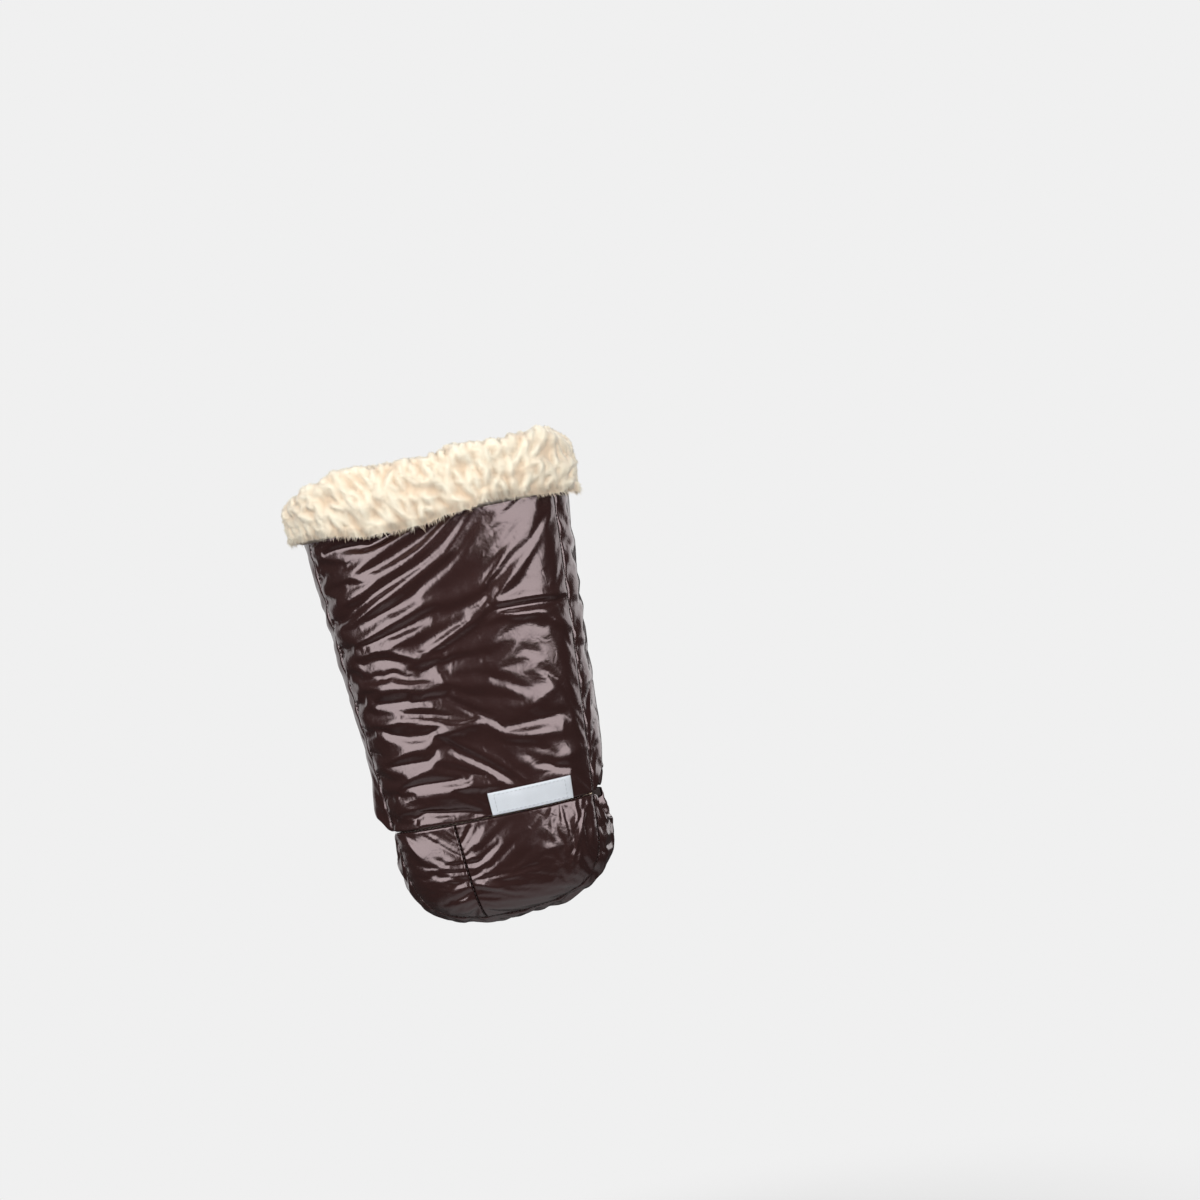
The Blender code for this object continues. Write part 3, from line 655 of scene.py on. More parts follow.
back_rng = np.random.default_rng(11)
back_x, back_y, back_z = np.moveaxis(back_wall, -1, 0)
back_held = edge_mask(back_flat) | (back_z > CUFF_HIDES) | behind_tab(back_flat, TAB_MARGIN)
on_back = np.clip(back_y / 0.012, 0.0, 1.0)
back_waves = waves(unrolled(back_wall, 1), back_z, back_rng, 0.012, 0.040, 60, 140) * FINE_WAVE
back_lift = BACK_FOLD_SHARE * strokes(back_x, back_z, BACK_FOLDS) * on_back + back_waves
back_folded = back_flat + outward(back_wall) * np.where(back_held, 0.0, back_lift)[..., None]
sleeve_back = lay_grid("sleeve_back", back_folded)
back_cut = lengthened(back_folded, SIDE_SLACK + BACK_SLACK * on_back)
back_cut[..., :2] *= BACK_WIDENING
buckle(sleeve_back, back_cut, np.where(back_held, 1.0, LOOSE_HOLD))

facing_top = SLEEVE_LOW + FACING_HEIGHT + LAYER_GAP
over_facing = (back_z < facing_top) & (back_y > OPENING_RADIUS - EDGE_OVERLAP)
back_depth = np.where(over_facing, THIN_EDGE, BATTING_FAR)
fill(sleeve_back, flared(sunk(back_wall, back_depth)))
dress(sleeve_back, nylon)
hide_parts("back_shell", "back_batting")
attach(sleeve_back, "sleeve")

# %% [markdown]
# ## Pouch
# The pouch is a bowl of three panels: two in front, with an upright puckered seam between them, and a
# wrap that goes round below and up the back. Each panel is a patch between its own border lines, which
# is first filled in straight and then evened out on the surface, so that the cloth starts with regular
# squares. As it hangs, the pouch is a little fuller on the left than on the right.

# %% Border lines and patches
POUCH_LEAN = 0.05
POUCH_SHIFT = 0.08
RIGHT_DRAW = 1.8


def sag(points):
    """The pouch hangs lower on the left, where it is fuller, and draws in towards its right end."""
    moved = points.copy()
    below = np.minimum(points[..., 2], 0.0)
    share = points[..., 0] / (WAIST_WIDTH / 2)
    moved[..., 2] -= below * POUCH_LEAN * share
    moved[..., 0] -= below * POUCH_SHIFT * (1 - RIGHT_DRAW * np.clip(share, 0.0, 1.0))
    return moved


def rim_line(edge_y, top):
    """The line where a plane of constant y cuts the pouch, from the top right round to the top left."""
    half_width, half_depth = half_axes(0.0)
    share = 1 - abs(edge_y / half_depth) ** PLAN_POWER
    angle = np.linspace(0.0, np.pi, FINE)
    x = half_width * share ** (1 / PLAN_POWER) * signed_power(np.cos(angle), 2 / PLAN_POWER)
    z = -POUCH_DROP * share ** (1 / BOTTOM_POWER) * np.abs(np.sin(angle)) ** (2 / BOTTOM_POWER)
    ends = plan_arc(top, edge_y, 2)
    return np.concatenate([ends[1:], np.stack([x, np.full(FINE, edge_y), z], axis=1), ends[:1]])


def on_front(points):
    """The points, moved along Y onto the front of the surface."""
    x, z = points[..., 0], points[..., 2]
    half_width, half_depth = half_axes(z)
    below = (np.maximum(-z, 0.0) / POUCH_DROP) ** BOTTOM_POWER
    share = np.maximum(1 - np.abs(x / half_width) ** PLAN_POWER - below, 0.0)
    y = np.minimum(-half_depth * share ** (1 / PLAN_POWER), front_edge)
    return np.stack([x, y, z], axis=-1)


def patch(bottom, top, left, right, columns, rows):
    """A grid of points between four lines: two run from its left to its right, and two upwards."""
    bottom, top = even_steps(bottom, columns), even_steps(top, columns)
    left, right = even_steps(left, rows), even_steps(right, rows)
    u = np.linspace(0.0, 1.0, columns)[None, :, None]
    v = np.linspace(0.0, 1.0, rows)[:, None, None]
    upright = (1 - v) * bottom[None] + v * top[None]
    level = (1 - u) * left[:, None] + u * right[:, None]
    corners = (1 - v) * ((1 - u) * bottom[0] + u * bottom[-1]) + v * ((1 - u) * top[0] + u * top[-1])
    return upright + level - corners


def evened(points, onto, rounds=240):
    """Moves every inner point to the middle of its neighbours, and back onto the surface."""
    for _ in range(rounds):
        middle = points[:-2, 1:-1] + points[2:, 1:-1] + points[1:-1, :-2] + points[1:-1, 2:]
        points[1:-1, 1:-1] = onto(middle / 4)
    return points


# %% Front panels of the pouch: shape
POUCH_STEP = 0.0018
pouch_top = WAIST_HEIGHT - SEAM_CLEAR


def line_at(x, low, high):
    """The upright line on the front at a place across."""
    heights = np.linspace(low, high, FINE)
    return on_front(np.stack([np.full(FINE, x), np.zeros(FINE), heights], axis=1))


def pouch_front_wall(side):
    """The grid of the left (-1) or right (1) front panel."""
    seam_x = PANEL_SEAM_X + side * SEAM_CLEAR
    rim = rim_line(front_edge, pouch_top)[::-side]
    rim = rim[side * (rim[:, 0] - seam_x) > 0]
    corner = int(np.argmax(side * rim[:, 0] / WAIST_WIDTH - rim[:, 2] / (2 * POUCH_DROP)))
    bottom, outer = rim[: corner + 1], rim[corner:]
    foot = np.array([[seam_x, front_edge, bottom[0, 2]]])
    bottom = np.concatenate([foot, bottom])
    top = plan_arc(pouch_top, front_edge, FINE)[::side]
    top = top[side * (top[:, 0] - seam_x) > 0]
    seam = line_at(seam_x, bottom[0, 2], pouch_top)
    top = np.concatenate([seam[-1:], top])
    columns, rows = (round(line_length(line) / POUCH_STEP) + 1 for line in (top, seam))
    wall = evened(patch(bottom, top, seam, outer, columns, rows), on_front)
    return wall if side > 0 else wall[:, ::-1]


left_wall, right_wall = pouch_front_wall(-1), pouch_front_wall(1)
print("pouch front grids:", left_wall.shape[:2], right_wall.shape[:2])

# %% Front panels of the pouch: folds
# The folds of both panels, in millimetres: puckers across the upright seam, a leaf at the left, and a
# fan that hangs from the right rim.
POUCH_FOLDS = (
    ((-62, 2), (-50, -20), 3.0, 1.6),
    ((-22, -1), (3, -5), 2.6, 1.3),
    ((-22, -10), (-6, -12), 2.2, 1.1),
    ((-21, -19), (-13, -21), 1.6, 0.8),
    ((-21, -36), (-5, -45), 2.8, 1.6),
    ((-8, -36), (9, -38), 1.6, 0.7),
    ((-5, -45), (5, -50), 1.6, 0.7),
    ((3, -53), (10, -56), 1.5, 0.6),
    ((-39, -19), (-24, -20), 1.8, 1.0),
    ((-37, -23), (-29, -26), 1.5, 0.8),
    ((-37, -33), (-31, -33), 1.5, 0.7),
    ((-39, -48), (-24, -48), 2.0, 1.0),
    ((-44, -1), (-39, -3), 1.5, 0.8),
    ((-37, 0), (-25, -4), 2.0, 1.0),
    ((63, -4), (52, -30), 2.0, 1.5),
    ((67, -14), (62, -31), 1.8, 1.3),
    ((59, -4), (52, -17), 1.8, 1.1),
    ((54, -27), (46, -40), 1.6, 1.0),
    ((55, -34), (50, -42), 1.4, 0.8),
    ((71, -28), (65, -41), 1.8, 1.2),
    ((64, -44), (41, -62), 2.2, 1.4),
    ((66, -50), (51, -62), 2.0, 1.2),
    ((37, -2), (45, 1), 1.5, 0.7),
)
print("folds on the pouch:", len(POUCH_FOLDS))

# %% Front panels of the pouch
POUCH_HOLD = LOOSE_HOLD * 2
POUCH_WAVE = 0.00012
POUCH_SLACK, SEAM_SLACK, SEAM_SLACK_REACH = 0.006, 0.085, 0.006
RIM_SLACK, RIM_SLACK_X = 0.08, 0.042


def make_pouch_front(name, wall, seed):
    """One front panel, folded, buckled and filled. It is cut longest at the upright seam and widest at
    the right rim, where the photograph shows puckers."""
    flat = sunk(wall, 0.0)
    x, z = flat[..., 0], flat[..., 2]
    held = edge_mask(flat)
    fine = waves(x, z, np.random.default_rng(seed), 0.008, 0.030, 40, 140) * POUCH_WAVE
    lift = np.where(held, 0.0, strokes(x, z, POUCH_FOLDS) + fine)
    folded = flat + outward(wall) * lift[..., None]
    piece = lay_grid(name, sag(folded))
    excess = POUCH_SLACK + SEAM_SLACK * np.exp(-np.abs(x - PANEL_SEAM_X) / SEAM_SLACK_REACH)
    cut = lengthened(folded, excess)
    cut[..., 0] += RIM_SLACK * np.maximum(x - RIM_SLACK_X, 0.0)
    buckle(piece, sag(cut), np.where(held, 1.0, POUCH_HOLD), bending=2.0)
    fill(piece, sag(sunk(wall, BATTING_FAR)))
    dress(piece, nylon)
    return piece


pouch_front_left = make_pouch_front("pouch_front_left", left_wall, 5)
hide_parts("pouch_left_panel")
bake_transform(pouch_front_left)
pouch_front_right = make_pouch_front("pouch_front_right", right_wall, 6)
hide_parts("pouch_right_panel", "pouch_front_batting")
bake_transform(pouch_front_right)

# %% [markdown]
# ## Wrap of the pouch
# The wrap starts at the rim seam, runs round below and ends in a free edge at the back. On its left and
# right the round side openings are part of its border, so it is one patch with four border lines and
# needs no holes.

# %% Wrap: shape
WRAP_STEP = 0.0024
WRAP_ACROSS, WRAP_ALONG = 0.235, 0.105


def on_bowl(points):
    """The points, moved straight away from the origin onto the surface."""
    low, high = np.full(points.shape[:-1], 0.05), np.full(points.shape[:-1], 20.0)
    half_width, half_depth = half_axes(points[..., 2])
    for _ in range(40):
        scale = (low + high) / 2
        x, y = points[..., 0] * scale / half_width, points[..., 1] * scale / half_depth
        z = np.minimum(points[..., 2], 0.0) * scale / POUCH_DROP
        inside = np.abs(x) ** PLAN_POWER + np.abs(y) ** PLAN_POWER + np.abs(z) ** BOTTOM_POWER < 1
        low, high = np.where(inside, scale, low), np.where(inside, high, scale)
    rise = np.where(points[..., 2] < 0, scale, 1.0)
    return points * np.stack([scale, scale, rise], axis=-1)


def opening_line(top, edge_y):
    """The wrap's right border: a short stretch of waist, then under the side opening to the back."""
    corner_y = math.sqrt(OPENING_RADIUS**2 - top**2)
    above = math.asin(top / OPENING_RADIUS)
    angle = np.linspace(math.pi - above, 2 * math.pi + above, FINE)
    y = np.concatenate([np.linspace(edge_y, -corner_y, 40)[:-1], OPENING_RADIUS * np.cos(angle)])
    z = np.concatenate([np.full(39, top), OPENING_RADIUS * np.sin(angle)])
    half_width, half_depth = half_axes(z)
    share = 1 - np.abs(y / half_depth) ** PLAN_POWER - (np.maximum(-z, 0) / POUCH_DROP) ** BOTTOM_POWER
    return np.stack([half_width * share ** (1 / PLAN_POWER), y, z], axis=1)


wrap_rim = rim_line(back_edge, POUCH_HIGH)
wrap_right = opening_line(POUCH_HIGH, back_edge)
wrap_left = wrap_right * np.array([-1.0, 1.0, 1.0])
wrap_free = plan_arc(POUCH_HIGH, wrap_right[-1, 1], FINE, back=True)
wrap_columns, wrap_rows = (round(length / WRAP_STEP) + 1 for length in (WRAP_ACROSS, WRAP_ALONG))
wrap_patch = patch(wrap_rim, wrap_free, wrap_right, wrap_left, wrap_columns, wrap_rows)
wrap_grid = evened(on_bowl(wrap_patch), on_bowl, 300)
print("wrap grid:", wrap_grid.shape[:2])

# %% Wrap: folds
WRAP_FOLDS = 26
WRAP_FOLD_SHARE = 0.8
WRAP_FULLNESS = 1.03
ROOT_REACH = 0.016


def random_folds(rng, count, spread_x, low, high):
    """Seeded folds that rise to one side, in millimetres."""
    folds = []
    for _ in range(count):
        x, z = rng.uniform(-spread_x, spread_x), rng.uniform(low, high)
        length, angle = rng.uniform(25, 60), math.radians(rng.uniform(-10, 35))
        end = (x + length * math.cos(angle), z + length * math.sin(angle))
        folds.append(((x, z), end, rng.uniform(3.5, 5.5), rng.uniform(1.0, 1.9)))
    return folds


def behind_root(points):
    x, y, z = np.moveaxis(points, -1, 0)
    return (np.abs(x) < TAB_WIDTH / 2 + TAB_MARGIN) & (y > 0) & (z > POUCH_HIGH - ROOT_REACH)


wrap_flat = sunk(wrap_grid, 0.0)
wrap_held = edge_mask(wrap_flat) | behind_root(wrap_flat)
wrap_rng = np.random.default_rng(17)
across_wrap, along_wrap = unrolled(wrap_grid, 1), unrolled(wrap_grid, 0)
across_wrap -= across_wrap[:, -1:] / 2
wrap_folds = random_folds(wrap_rng, WRAP_FOLDS, 100, 5, 105)
wrap_waves = waves(across_wrap, along_wrap, wrap_rng, 0.010, 0.035, 0, 180) * FINE_WAVE
wrap_lift = WRAP_FOLD_SHARE * strokes(across_wrap, along_wrap, wrap_folds) + wrap_waves
wrap_folded = sag(wrap_flat + outward(wrap_grid) * np.where(wrap_held, 0.0, wrap_lift)[..., None])
print("points of the wrap held:", int(wrap_held.sum()))

# %% Wrap: let it buckle and fill it
pouch_wrap = lay_grid("pouch_wrap", wrap_folded)
buckle(pouch_wrap, wrap_folded * WRAP_FULLNESS, np.where(wrap_held, 1.0, POUCH_HOLD))
near_edge = wrap_grid[..., 2] > POUCH_HIGH - FACING_HEIGHT - LAYER_GAP
over_rim_facing = near_edge & (wrap_grid[..., 1] > OPENING_RADIUS - EDGE_OVERLAP)
fill(pouch_wrap, sag(sunk(wrap_grid, np.where(over_rim_facing, THIN_EDGE, BATTING_FAR))))
dress(pouch_wrap, nylon)
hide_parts("pouch_wrap_shell", "pouch_wrap_batting")
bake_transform(pouch_wrap)

# %% [markdown]
# ## Cream plush
# The cuff and the linings are one knitted cream plush. The shade down in the valleys of its tufts, where
# less
# light gets in, is painted: there the colour goes to a warm pinkish tan. The mesh stores how high each point
# stands in its tuft, and the finish mixes the cream and the painted shade by that value. Sheen gives the
# soft glow of fibre ends.

# %% Plush finish
# The valley colour is painted shade: the warm tan of the shadow between the tufts.
PLUSH_VALLEY_SHADE = (0.91, 0.73, 0.54, 1.0)
PLUSH_CREST = (0.98, 0.93, 0.77, 1.0)


def make_plush():
    finish, tree, shader = new_finish("cream_plush")
    # Where rise is low, in the valleys and at the fibres' roots, the colour goes to the painted shade; where
    # it is high, to cream.
    rise = add_node(tree, "ShaderNodeAttribute", {"attribute_name": "rise"}).outputs["Fac"]
    colour = mix_colours(tree, PLUSH_VALLEY_SHADE, PLUSH_CREST, rise)
    dye(tree, shader, colour, use_group(tree, patchy, Patch=0.02, Spread=0.03))
    set_inputs(shader, Roughness=0.85, Specular_IOR_Level=0.2, Sheen_Weight=0.35, Sheen_Roughness=0.6)
    return finish


plush = make_plush()
print("finish:", plush.name)

# %% [markdown]
# ## How the plush is made
# The pile of a plush gathers into tufts, soft ridges a few millimetres wide. So seeded strokes are strewn
# over the unrolled backing, and each point of a fine grid rises by how near it lies to a stroke's line.
# Short fibres then stand on that relief and make its edge fuzzy. They take the relief's own normals,
# because a mass of fine fibres catches the light like one soft surface.


# %% Values on a grid
def grid_normals(wall):
    normals = np.cross(np.gradient(wall, axis=1), np.gradient(wall, axis=0))
    return normals / np.linalg.norm(normals, axis=-1, keepdims=True)


def grid_steps(wall):
    """The mean distances from column to column and from row to row."""
    across = np.linalg.norm(np.diff(wall, axis=1), axis=2).mean()
    upward = np.linalg.norm(np.diff(wall, axis=0), axis=2).mean()
    return np.array([across, upward])


def grid_size(wall):
    return grid_steps(wall) * (np.array(wall.shape[1::-1]) - 1)


def on_grid(values, places):
    """A grid's values at fractional (column, row) places. Places past the border slide on."""
    rows, columns = values.shape[:2]
    column = np.clip(places[:, 0].astype(int), 0, columns - 2)
    row = np.clip(places[:, 1].astype(int), 0, rows - 2)
    right = (places[:, 0] - column)[:, None]
    up = (places[:, 1] - row)[:, None]
    low = values[row, column] * (1 - right) + values[row, column + 1] * right
    high = values[row + 1, column] * (1 - right) + values[row + 1, column + 1] * right
    return low * (1 - up) + high * up


# %% Tufts
TUFT_WIDTH = 0.0036
TUFT_LENGTH = 0.0120
TUFT_FALL = 0.55
TUFT_SLANT = 0.32
CHUNK = 2000


def strewn(rng, size, step_across, step_up):
    """Places on a sheet in jittered rows, about one step apart."""
    across, upward = np.meshgrid(
        np.arange(step_across / 2, size[0], step_across), np.arange(step_up / 2, size[1], step_up)
    )
    places = np.stack([across.ravel(), upward.ravel()], axis=1)
    return places + rng.uniform(-0.5, 0.5, places.shape) * [step_across, step_up]


def tuft_relief(wall, lean, seed):
    """How high the tufts stand at each point of a grid: up to 1 on a crest, and near 0 in a valley.

    Lean gives the tufts' slant from straight down at points of the grid.
    """
    rng = np.random.default_rng(seed)
    steps = grid_steps(wall)
    rows, columns = wall.shape[:2]
    centres = strewn(rng, grid_size(wall), TUFT_WIDTH, TUFT_LENGTH)
    slant = lean(on_grid(wall, centres / steps)) + rng.normal(0.0, TUFT_SLANT, len(centres))
    bulk = rng.uniform(0.7, 1.4, len(centres))
    ways = np.stack([np.sin(slant), -np.cos(slant)], axis=1) * 2 / TUFT_LENGTH / bulk[:, None]
    sides = np.stack([np.cos(slant), np.sin(slant)], axis=1) * 2 / TUFT_WIDTH / bulk[:, None]
    plump = rng.uniform(0.6, 1.0, len(centres))
    column, row = np.meshgrid(np.arange(columns), np.arange(rows))
    places = np.stack([column.ravel(), row.ravel()], axis=1) * steps
    relief = np.zeros(len(places))
    for start in range(0, len(places), CHUNK):
        apart = places[start : start + CHUNK, None] - centres
        along, beside = (apart * ways).sum(axis=2), (apart * sides).sum(axis=2)
        relief[start : start + CHUNK] = (plump * (1 - TUFT_FALL * (along**2 + beside**2))).max(axis=1)
    relief = np.maximum(relief, 0.0).reshape(rows, columns)
    for _ in range(2):
        wider = np.pad(relief, 1, mode="edge")
        around = wider[:-2, 1:-1] + wider[2:, 1:-1] + wider[1:-1, :-2] + wider[1:-1, 2:]
        relief = (relief + around) / 5
    return relief


# %% Fibres
FIBRE_SPOKES = np.array([[0.0, 1.0], [-math.sqrt(0.75), -0.5], [math.sqrt(0.75), -0.5]])
FIBRE_FACES = np.array([(0, 1, 3), (1, 2, 3), (2, 0, 3), (2, 1, 0)])
FIBRE_WIDTH = 0.38
FIBRE_LEAN = 0.4


def store(mesh, name, values):
    """Stores one value for each point of a mesh."""
    layer = mesh.attributes.new(name, "FLOAT", "POINT")
    layer.data.foreach_set("value", values.astype(np.float32).ravel())


def grow_fibres(name, wall, relief, spacing, height, seed, hang=0.3, finish=plush, slot="plush"):
    """Three-sided spikes on a grid of points, which lean down by hang."""
    rng = np.random.default_rng(seed)
    roots = strewn(rng, grid_size(wall), spacing, spacing)
    frames = np.concatenate([wall, grid_normals(wall), relief[..., None]], axis=2)
    at = on_grid(frames, roots / grid_steps(wall))
    root, normal, rise = at[:, None, :3], at[:, None, 3:6], at[:, 6]
    lean = rng.normal(0.0, FIBRE_LEAN, root.shape) - [0.0, 0.0, hang]
    lean -= (lean * normal).sum(axis=-1, keepdims=True) * normal
    right = np.cross(normal, lean)
    right /= np.linalg.norm(right, axis=-1, keepdims=True)
    foot = FIBRE_SPOKES[:, :1] * right + FIBRE_SPOKES[:, 1:] * np.cross(normal, right)
    tip = root + (normal + lean) * (height * rng.uniform(0.7, 1.2, len(roots)))[:, None, None]
    corners = np.concatenate([root + FIBRE_WIDTH * spacing * foot, tip], axis=1)
    faces = np.arange(len(roots))[:, None, None] * 4 + FIBRE_FACES

    mesh = bpy.data.meshes.new(name)
    mesh.from_pydata(corners.reshape(-1, 3).tolist(), [], faces.reshape(-1, 3).tolist())
    # The fibres carry the painted shade of the relief under them, and are painted darker at the root than at
    # the tip.
    store(mesh, "rise", 0.8 * rise[:, None] + [0.0, 0.0, 0.0, 0.2])
    mesh.shade_smooth()
    mesh.normals_split_custom_set_from_vertices(np.repeat(normal, 4, axis=1).reshape(-1, 3).tolist())
    piece = bpy.data.objects.new(name, mesh)
    bpy.context.scene.collection.objects.link(piece)
    dress(piece, finish)
    return piece


# %% [markdown]
# ## Plush cuff
# The cuff is a band of plush that is turned over the mouth, so its cut face is an arch with the padded
# wall inside. Its backing is a grid whose columns follow that arch and go round the mouth, and which is
# welded where it closes. It isn't straight: it hangs lower in the middle and droops at its left end.

# %% Cuff: sizes
CUFF_LOW = 0.207
CUFF_HEIGHT = 0.043
CUFF_ROUNDNESS = 0.55
CUFF_OUTER_PILE = 0.0085
CUFF_INNER_PILE = 0.0100
CUFF_PILE = 0.0030
CUFF_TUFTS = 0.0042
CUFF_DROOP = 0.0035
CUFF_SAG = 0.0130
CUFF_AROUND = 480
ARCH_POINTS = 104
# At shares of the half width: how far the lower edge drops, and how far the top sinks.
CUFF_EDGES = np.array((
    (-1.00, -0.9, 1.0),
    (-0.88, -1.1, 0.6),
    (-0.78, -1.1, 0.35),
    (-0.60, -0.3, 0.0),
    (-0.45, 0.9, 0.0),
    (-0.20, 1.0, 0.0),
    (0.00, 0.9, 0.1),
    (0.18, 0.0, 0.0),
    (0.34, -0.3, 0.0),
    (0.50, -1.3, 0.0),
    (0.64, -1.1, 0.1),
    (0.80, -0.3, -0.2),
    (0.92, 0.3, -0.15),
    (1.00, 0.6, 0.45),
))
mouth = even_steps(ring(SLEEVE_HEIGHT, np.linspace(np.pi / 2, 2.5 * np.pi, FINE)), CUFF_AROUND + 1)[:-1]
cuff_turns = np.arctan2(mouth[:, 1], mouth[:, 0])
print("round the cuff's seam:", round(line_length(mouth), 3))


# %% Cuff: shape
def cuff_arch(inset):
    """The arch as (distance out of the shell, height), from the outer edge over the top to the inner."""
    outer, inner = CUFF_OUTER_PILE - inset, -(BATTING_FAR + CUFF_INNER_PILE - inset)
    angle = np.linspace(0.0, np.pi, FINE)
    across = (outer + inner) / 2 + (outer - inner) / 2 * signed_power(np.cos(angle), CUFF_ROUNDNESS)
    height = CUFF_LOW + (CUFF_HEIGHT - inset) * np.maximum(np.sin(angle), 0.0) ** CUFF_ROUNDNESS
    line = np.stack([across, np.zeros(FINE), height], axis=1)
    return even_steps(line, ARCH_POINTS)[:, [0, 2]]


def place_cuff(distance, height, drops):
    """The ring of points at a distance out of the shell and a height, with the cuff's droop and sag."""
    on_wall = ring(min(height, SLEEVE_HEIGHT), cuff_turns)
    placed = on_wall + outward(on_wall) * distance
    share = on_wall[:, 0] / half_axes(height)[0]
    rise = (height - CUFF_LOW) / CUFF_HEIGHT
    droop = np.interp(share, CUFF_EDGES[:, 0], CUFF_EDGES[:, 1]) * CUFF_DROOP * (1 - rise) * (distance > 0)
    sagging = np.interp(share, CUFF_EDGES[:, 0], CUFF_EDGES[:, 2]) * CUFF_SAG * rise
    placed[:, 2] = height - drops * (droop + sagging)
    return placed


arch = cuff_arch(CUFF_PILE)
wall_outside, wall_inside = LAYER_GAP, -(BATTING_FAR + LAYER_GAP)
rim_height = SLEEVE_HEIGHT + LAYER_GAP
inside_up = [(wall_inside, CUFF_LOW), (wall_inside, (CUFF_LOW + rim_height) / 2), (wall_inside, rim_height)]
groove = inside_up + [(wall_outside, height) for _, height in inside_up[::-1]]


def closed_rings(line, drops):
    """A grid with one row round the mouth for each point of a line. Its last column is its first again."""
    rings = np.stack([place_cuff(distance, height, drops) for distance, height in line])
    return np.concatenate([rings, rings[:, :1]], axis=1)


arch_grid, groove_grid = closed_rings(arch, 1.0), closed_rings(groove, 0.0)
print("cuff arch:", arch_grid.shape[:2], "top at", round(float(arch_grid[..., 2].max()), 4))


# %% Cuff: relief and backing
CUFF_SLANT = 0.5
CUFF_LUMP = 0.0009
MEAN_RADIUS = 0.08


def cuff_lean(points):
    """In front the tufts slant down to the right, and towards the right end down to the left."""
    return CUFF_SLANT * np.tanh((0.045 - points[:, 0]) / 0.02)


def cuff_lumps(points):
    """The plush is stuffed a little unevenly, so its backing rises and falls by a millimetre."""
    rng = np.random.default_rng(23)
    along = np.unwrap(np.arctan2(points[..., 1], points[..., 0]), axis=1) * MEAN_RADIUS
    return waves(along, points[..., 2], rng, 0.014, 0.050, 0, 180) * CUFF_LUMP


cuff_relief = tuft_relief(arch_grid, cuff_lean, 31)
cuff_swell = CUFF_TUFTS * cuff_relief + cuff_lumps(arch_grid)
cuff_swell[:, -1] = cuff_swell[:, 0]
arch_grid = arch_grid + grid_normals(arch_grid) * cuff_swell[..., None]
cuff_backing = lay_grid("cuff_backing", np.concatenate([arch_grid, groove_grid, arch_grid[:1]]))
# The relief also sets the painted shade of the plush; the groove rows, hidden under the shell, get the full
# painted shade.
store(cuff_backing.data, "rise", np.pad(cuff_relief, ((0, len(groove) + 1), (0, 0))))
apply_modifier(cuff_backing, "WELD", merge_threshold=1e-6)
cuff_backing.data.shade_smooth()
dress(cuff_backing, plush)
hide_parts("cuff")
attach(cuff_backing, "sleeve")

# %% Cuff: fibres, and a fringe along the lower edge
CUFF_FIBRE = 0.0013
CUFF_FIBRE_SPACING = 0.00095
FRINGE_ROWS = 7
FRINGE_LENGTH = 0.0026
FRINGE_SPACING = 0.0008
FRINGE_HANG = 1.1

quarter = CUFF_AROUND // 4
for number, side in enumerate(("back_left", "front_left", "front_right", "back_right")):
    first = number * quarter
    part = slice(None), slice(first, first + quarter + 1)
    name = "cuff_fibres_" + side
    fibres = grow_fibres(name, arch_grid[part], cuff_relief[part], CUFF_FIBRE_SPACING, CUFF_FIBRE, first)
    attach(fibres, "sleeve")

edge_rows, edge_relief = arch_grid[:FRINGE_ROWS], cuff_relief[:FRINGE_ROWS]
fringe = grow_fibres("cuff_fringe", edge_rows, edge_relief, FRINGE_SPACING, FRINGE_LENGTH, 71, FRINGE_HANG)
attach(fringe, "sleeve")

# %% [markdown]
# ## Plush linings
# The same plush lines the sleeve and the pouch, with lower tufts, because hands press it down. Each lining
# is a thin padded backing with its fibres joined to it, so that the two bend as one.

# %% How a lining is made
PLUSH_NEAR = 0.0096
LINING_BACK = 0.0018
LINING_TUFTS = 0.0022
LINING_FIBRE = 0.0014
LINING_FIBRE_SPACING = 0.0018
LINING_TOP = 0.2059
LINING_STEP = 0.002


def join_pieces(name, pieces):
    """Joins pieces into the first of them."""
    bpy.ops.object.select_all(action="DESELECT")
    for piece in pieces:
        piece.select_set(True)
    bpy.context.view_layer.objects.active = pieces[0]
    bpy.ops.object.join()
    pieces[0].name = pieces[0].data.name = name
    return pieces[0]


def hang_straight(points):
    return np.zeros(len(points))


def make_lining(name, walls, seed, settle=lambda points: points):
    """A lining over one or more grids: a backing for each, with pile on its inner side."""
    pieces = []
    for number, wall in enumerate(walls):
        relief = tuft_relief(wall, hang_straight, seed + number)
        far = settle(sunk(wall, PLUSH_NEAR + LINING_BACK + LINING_TUFTS * relief))
        backing = lay_grid(name, settle(sunk(wall, PLUSH_NEAR)))
        # The relief sets the painted shade in the lining's valleys.
        store(backing.data, "rise", relief)
        fill(backing, far, levels=0)
        backing.data.materials.append(plush)
        inside, inner_relief = far[:, ::-1], relief[:, ::-1]
        fibres = grow_fibres(name, inside, inner_relief, LINING_FIBRE_SPACING, LINING_FIBRE, seed + number)
        pieces += [backing, fibres]
    lining = join_pieces(name, pieces)
    print(name + ":", count_triangles(lining), "triangles with its fibres")
    return lining


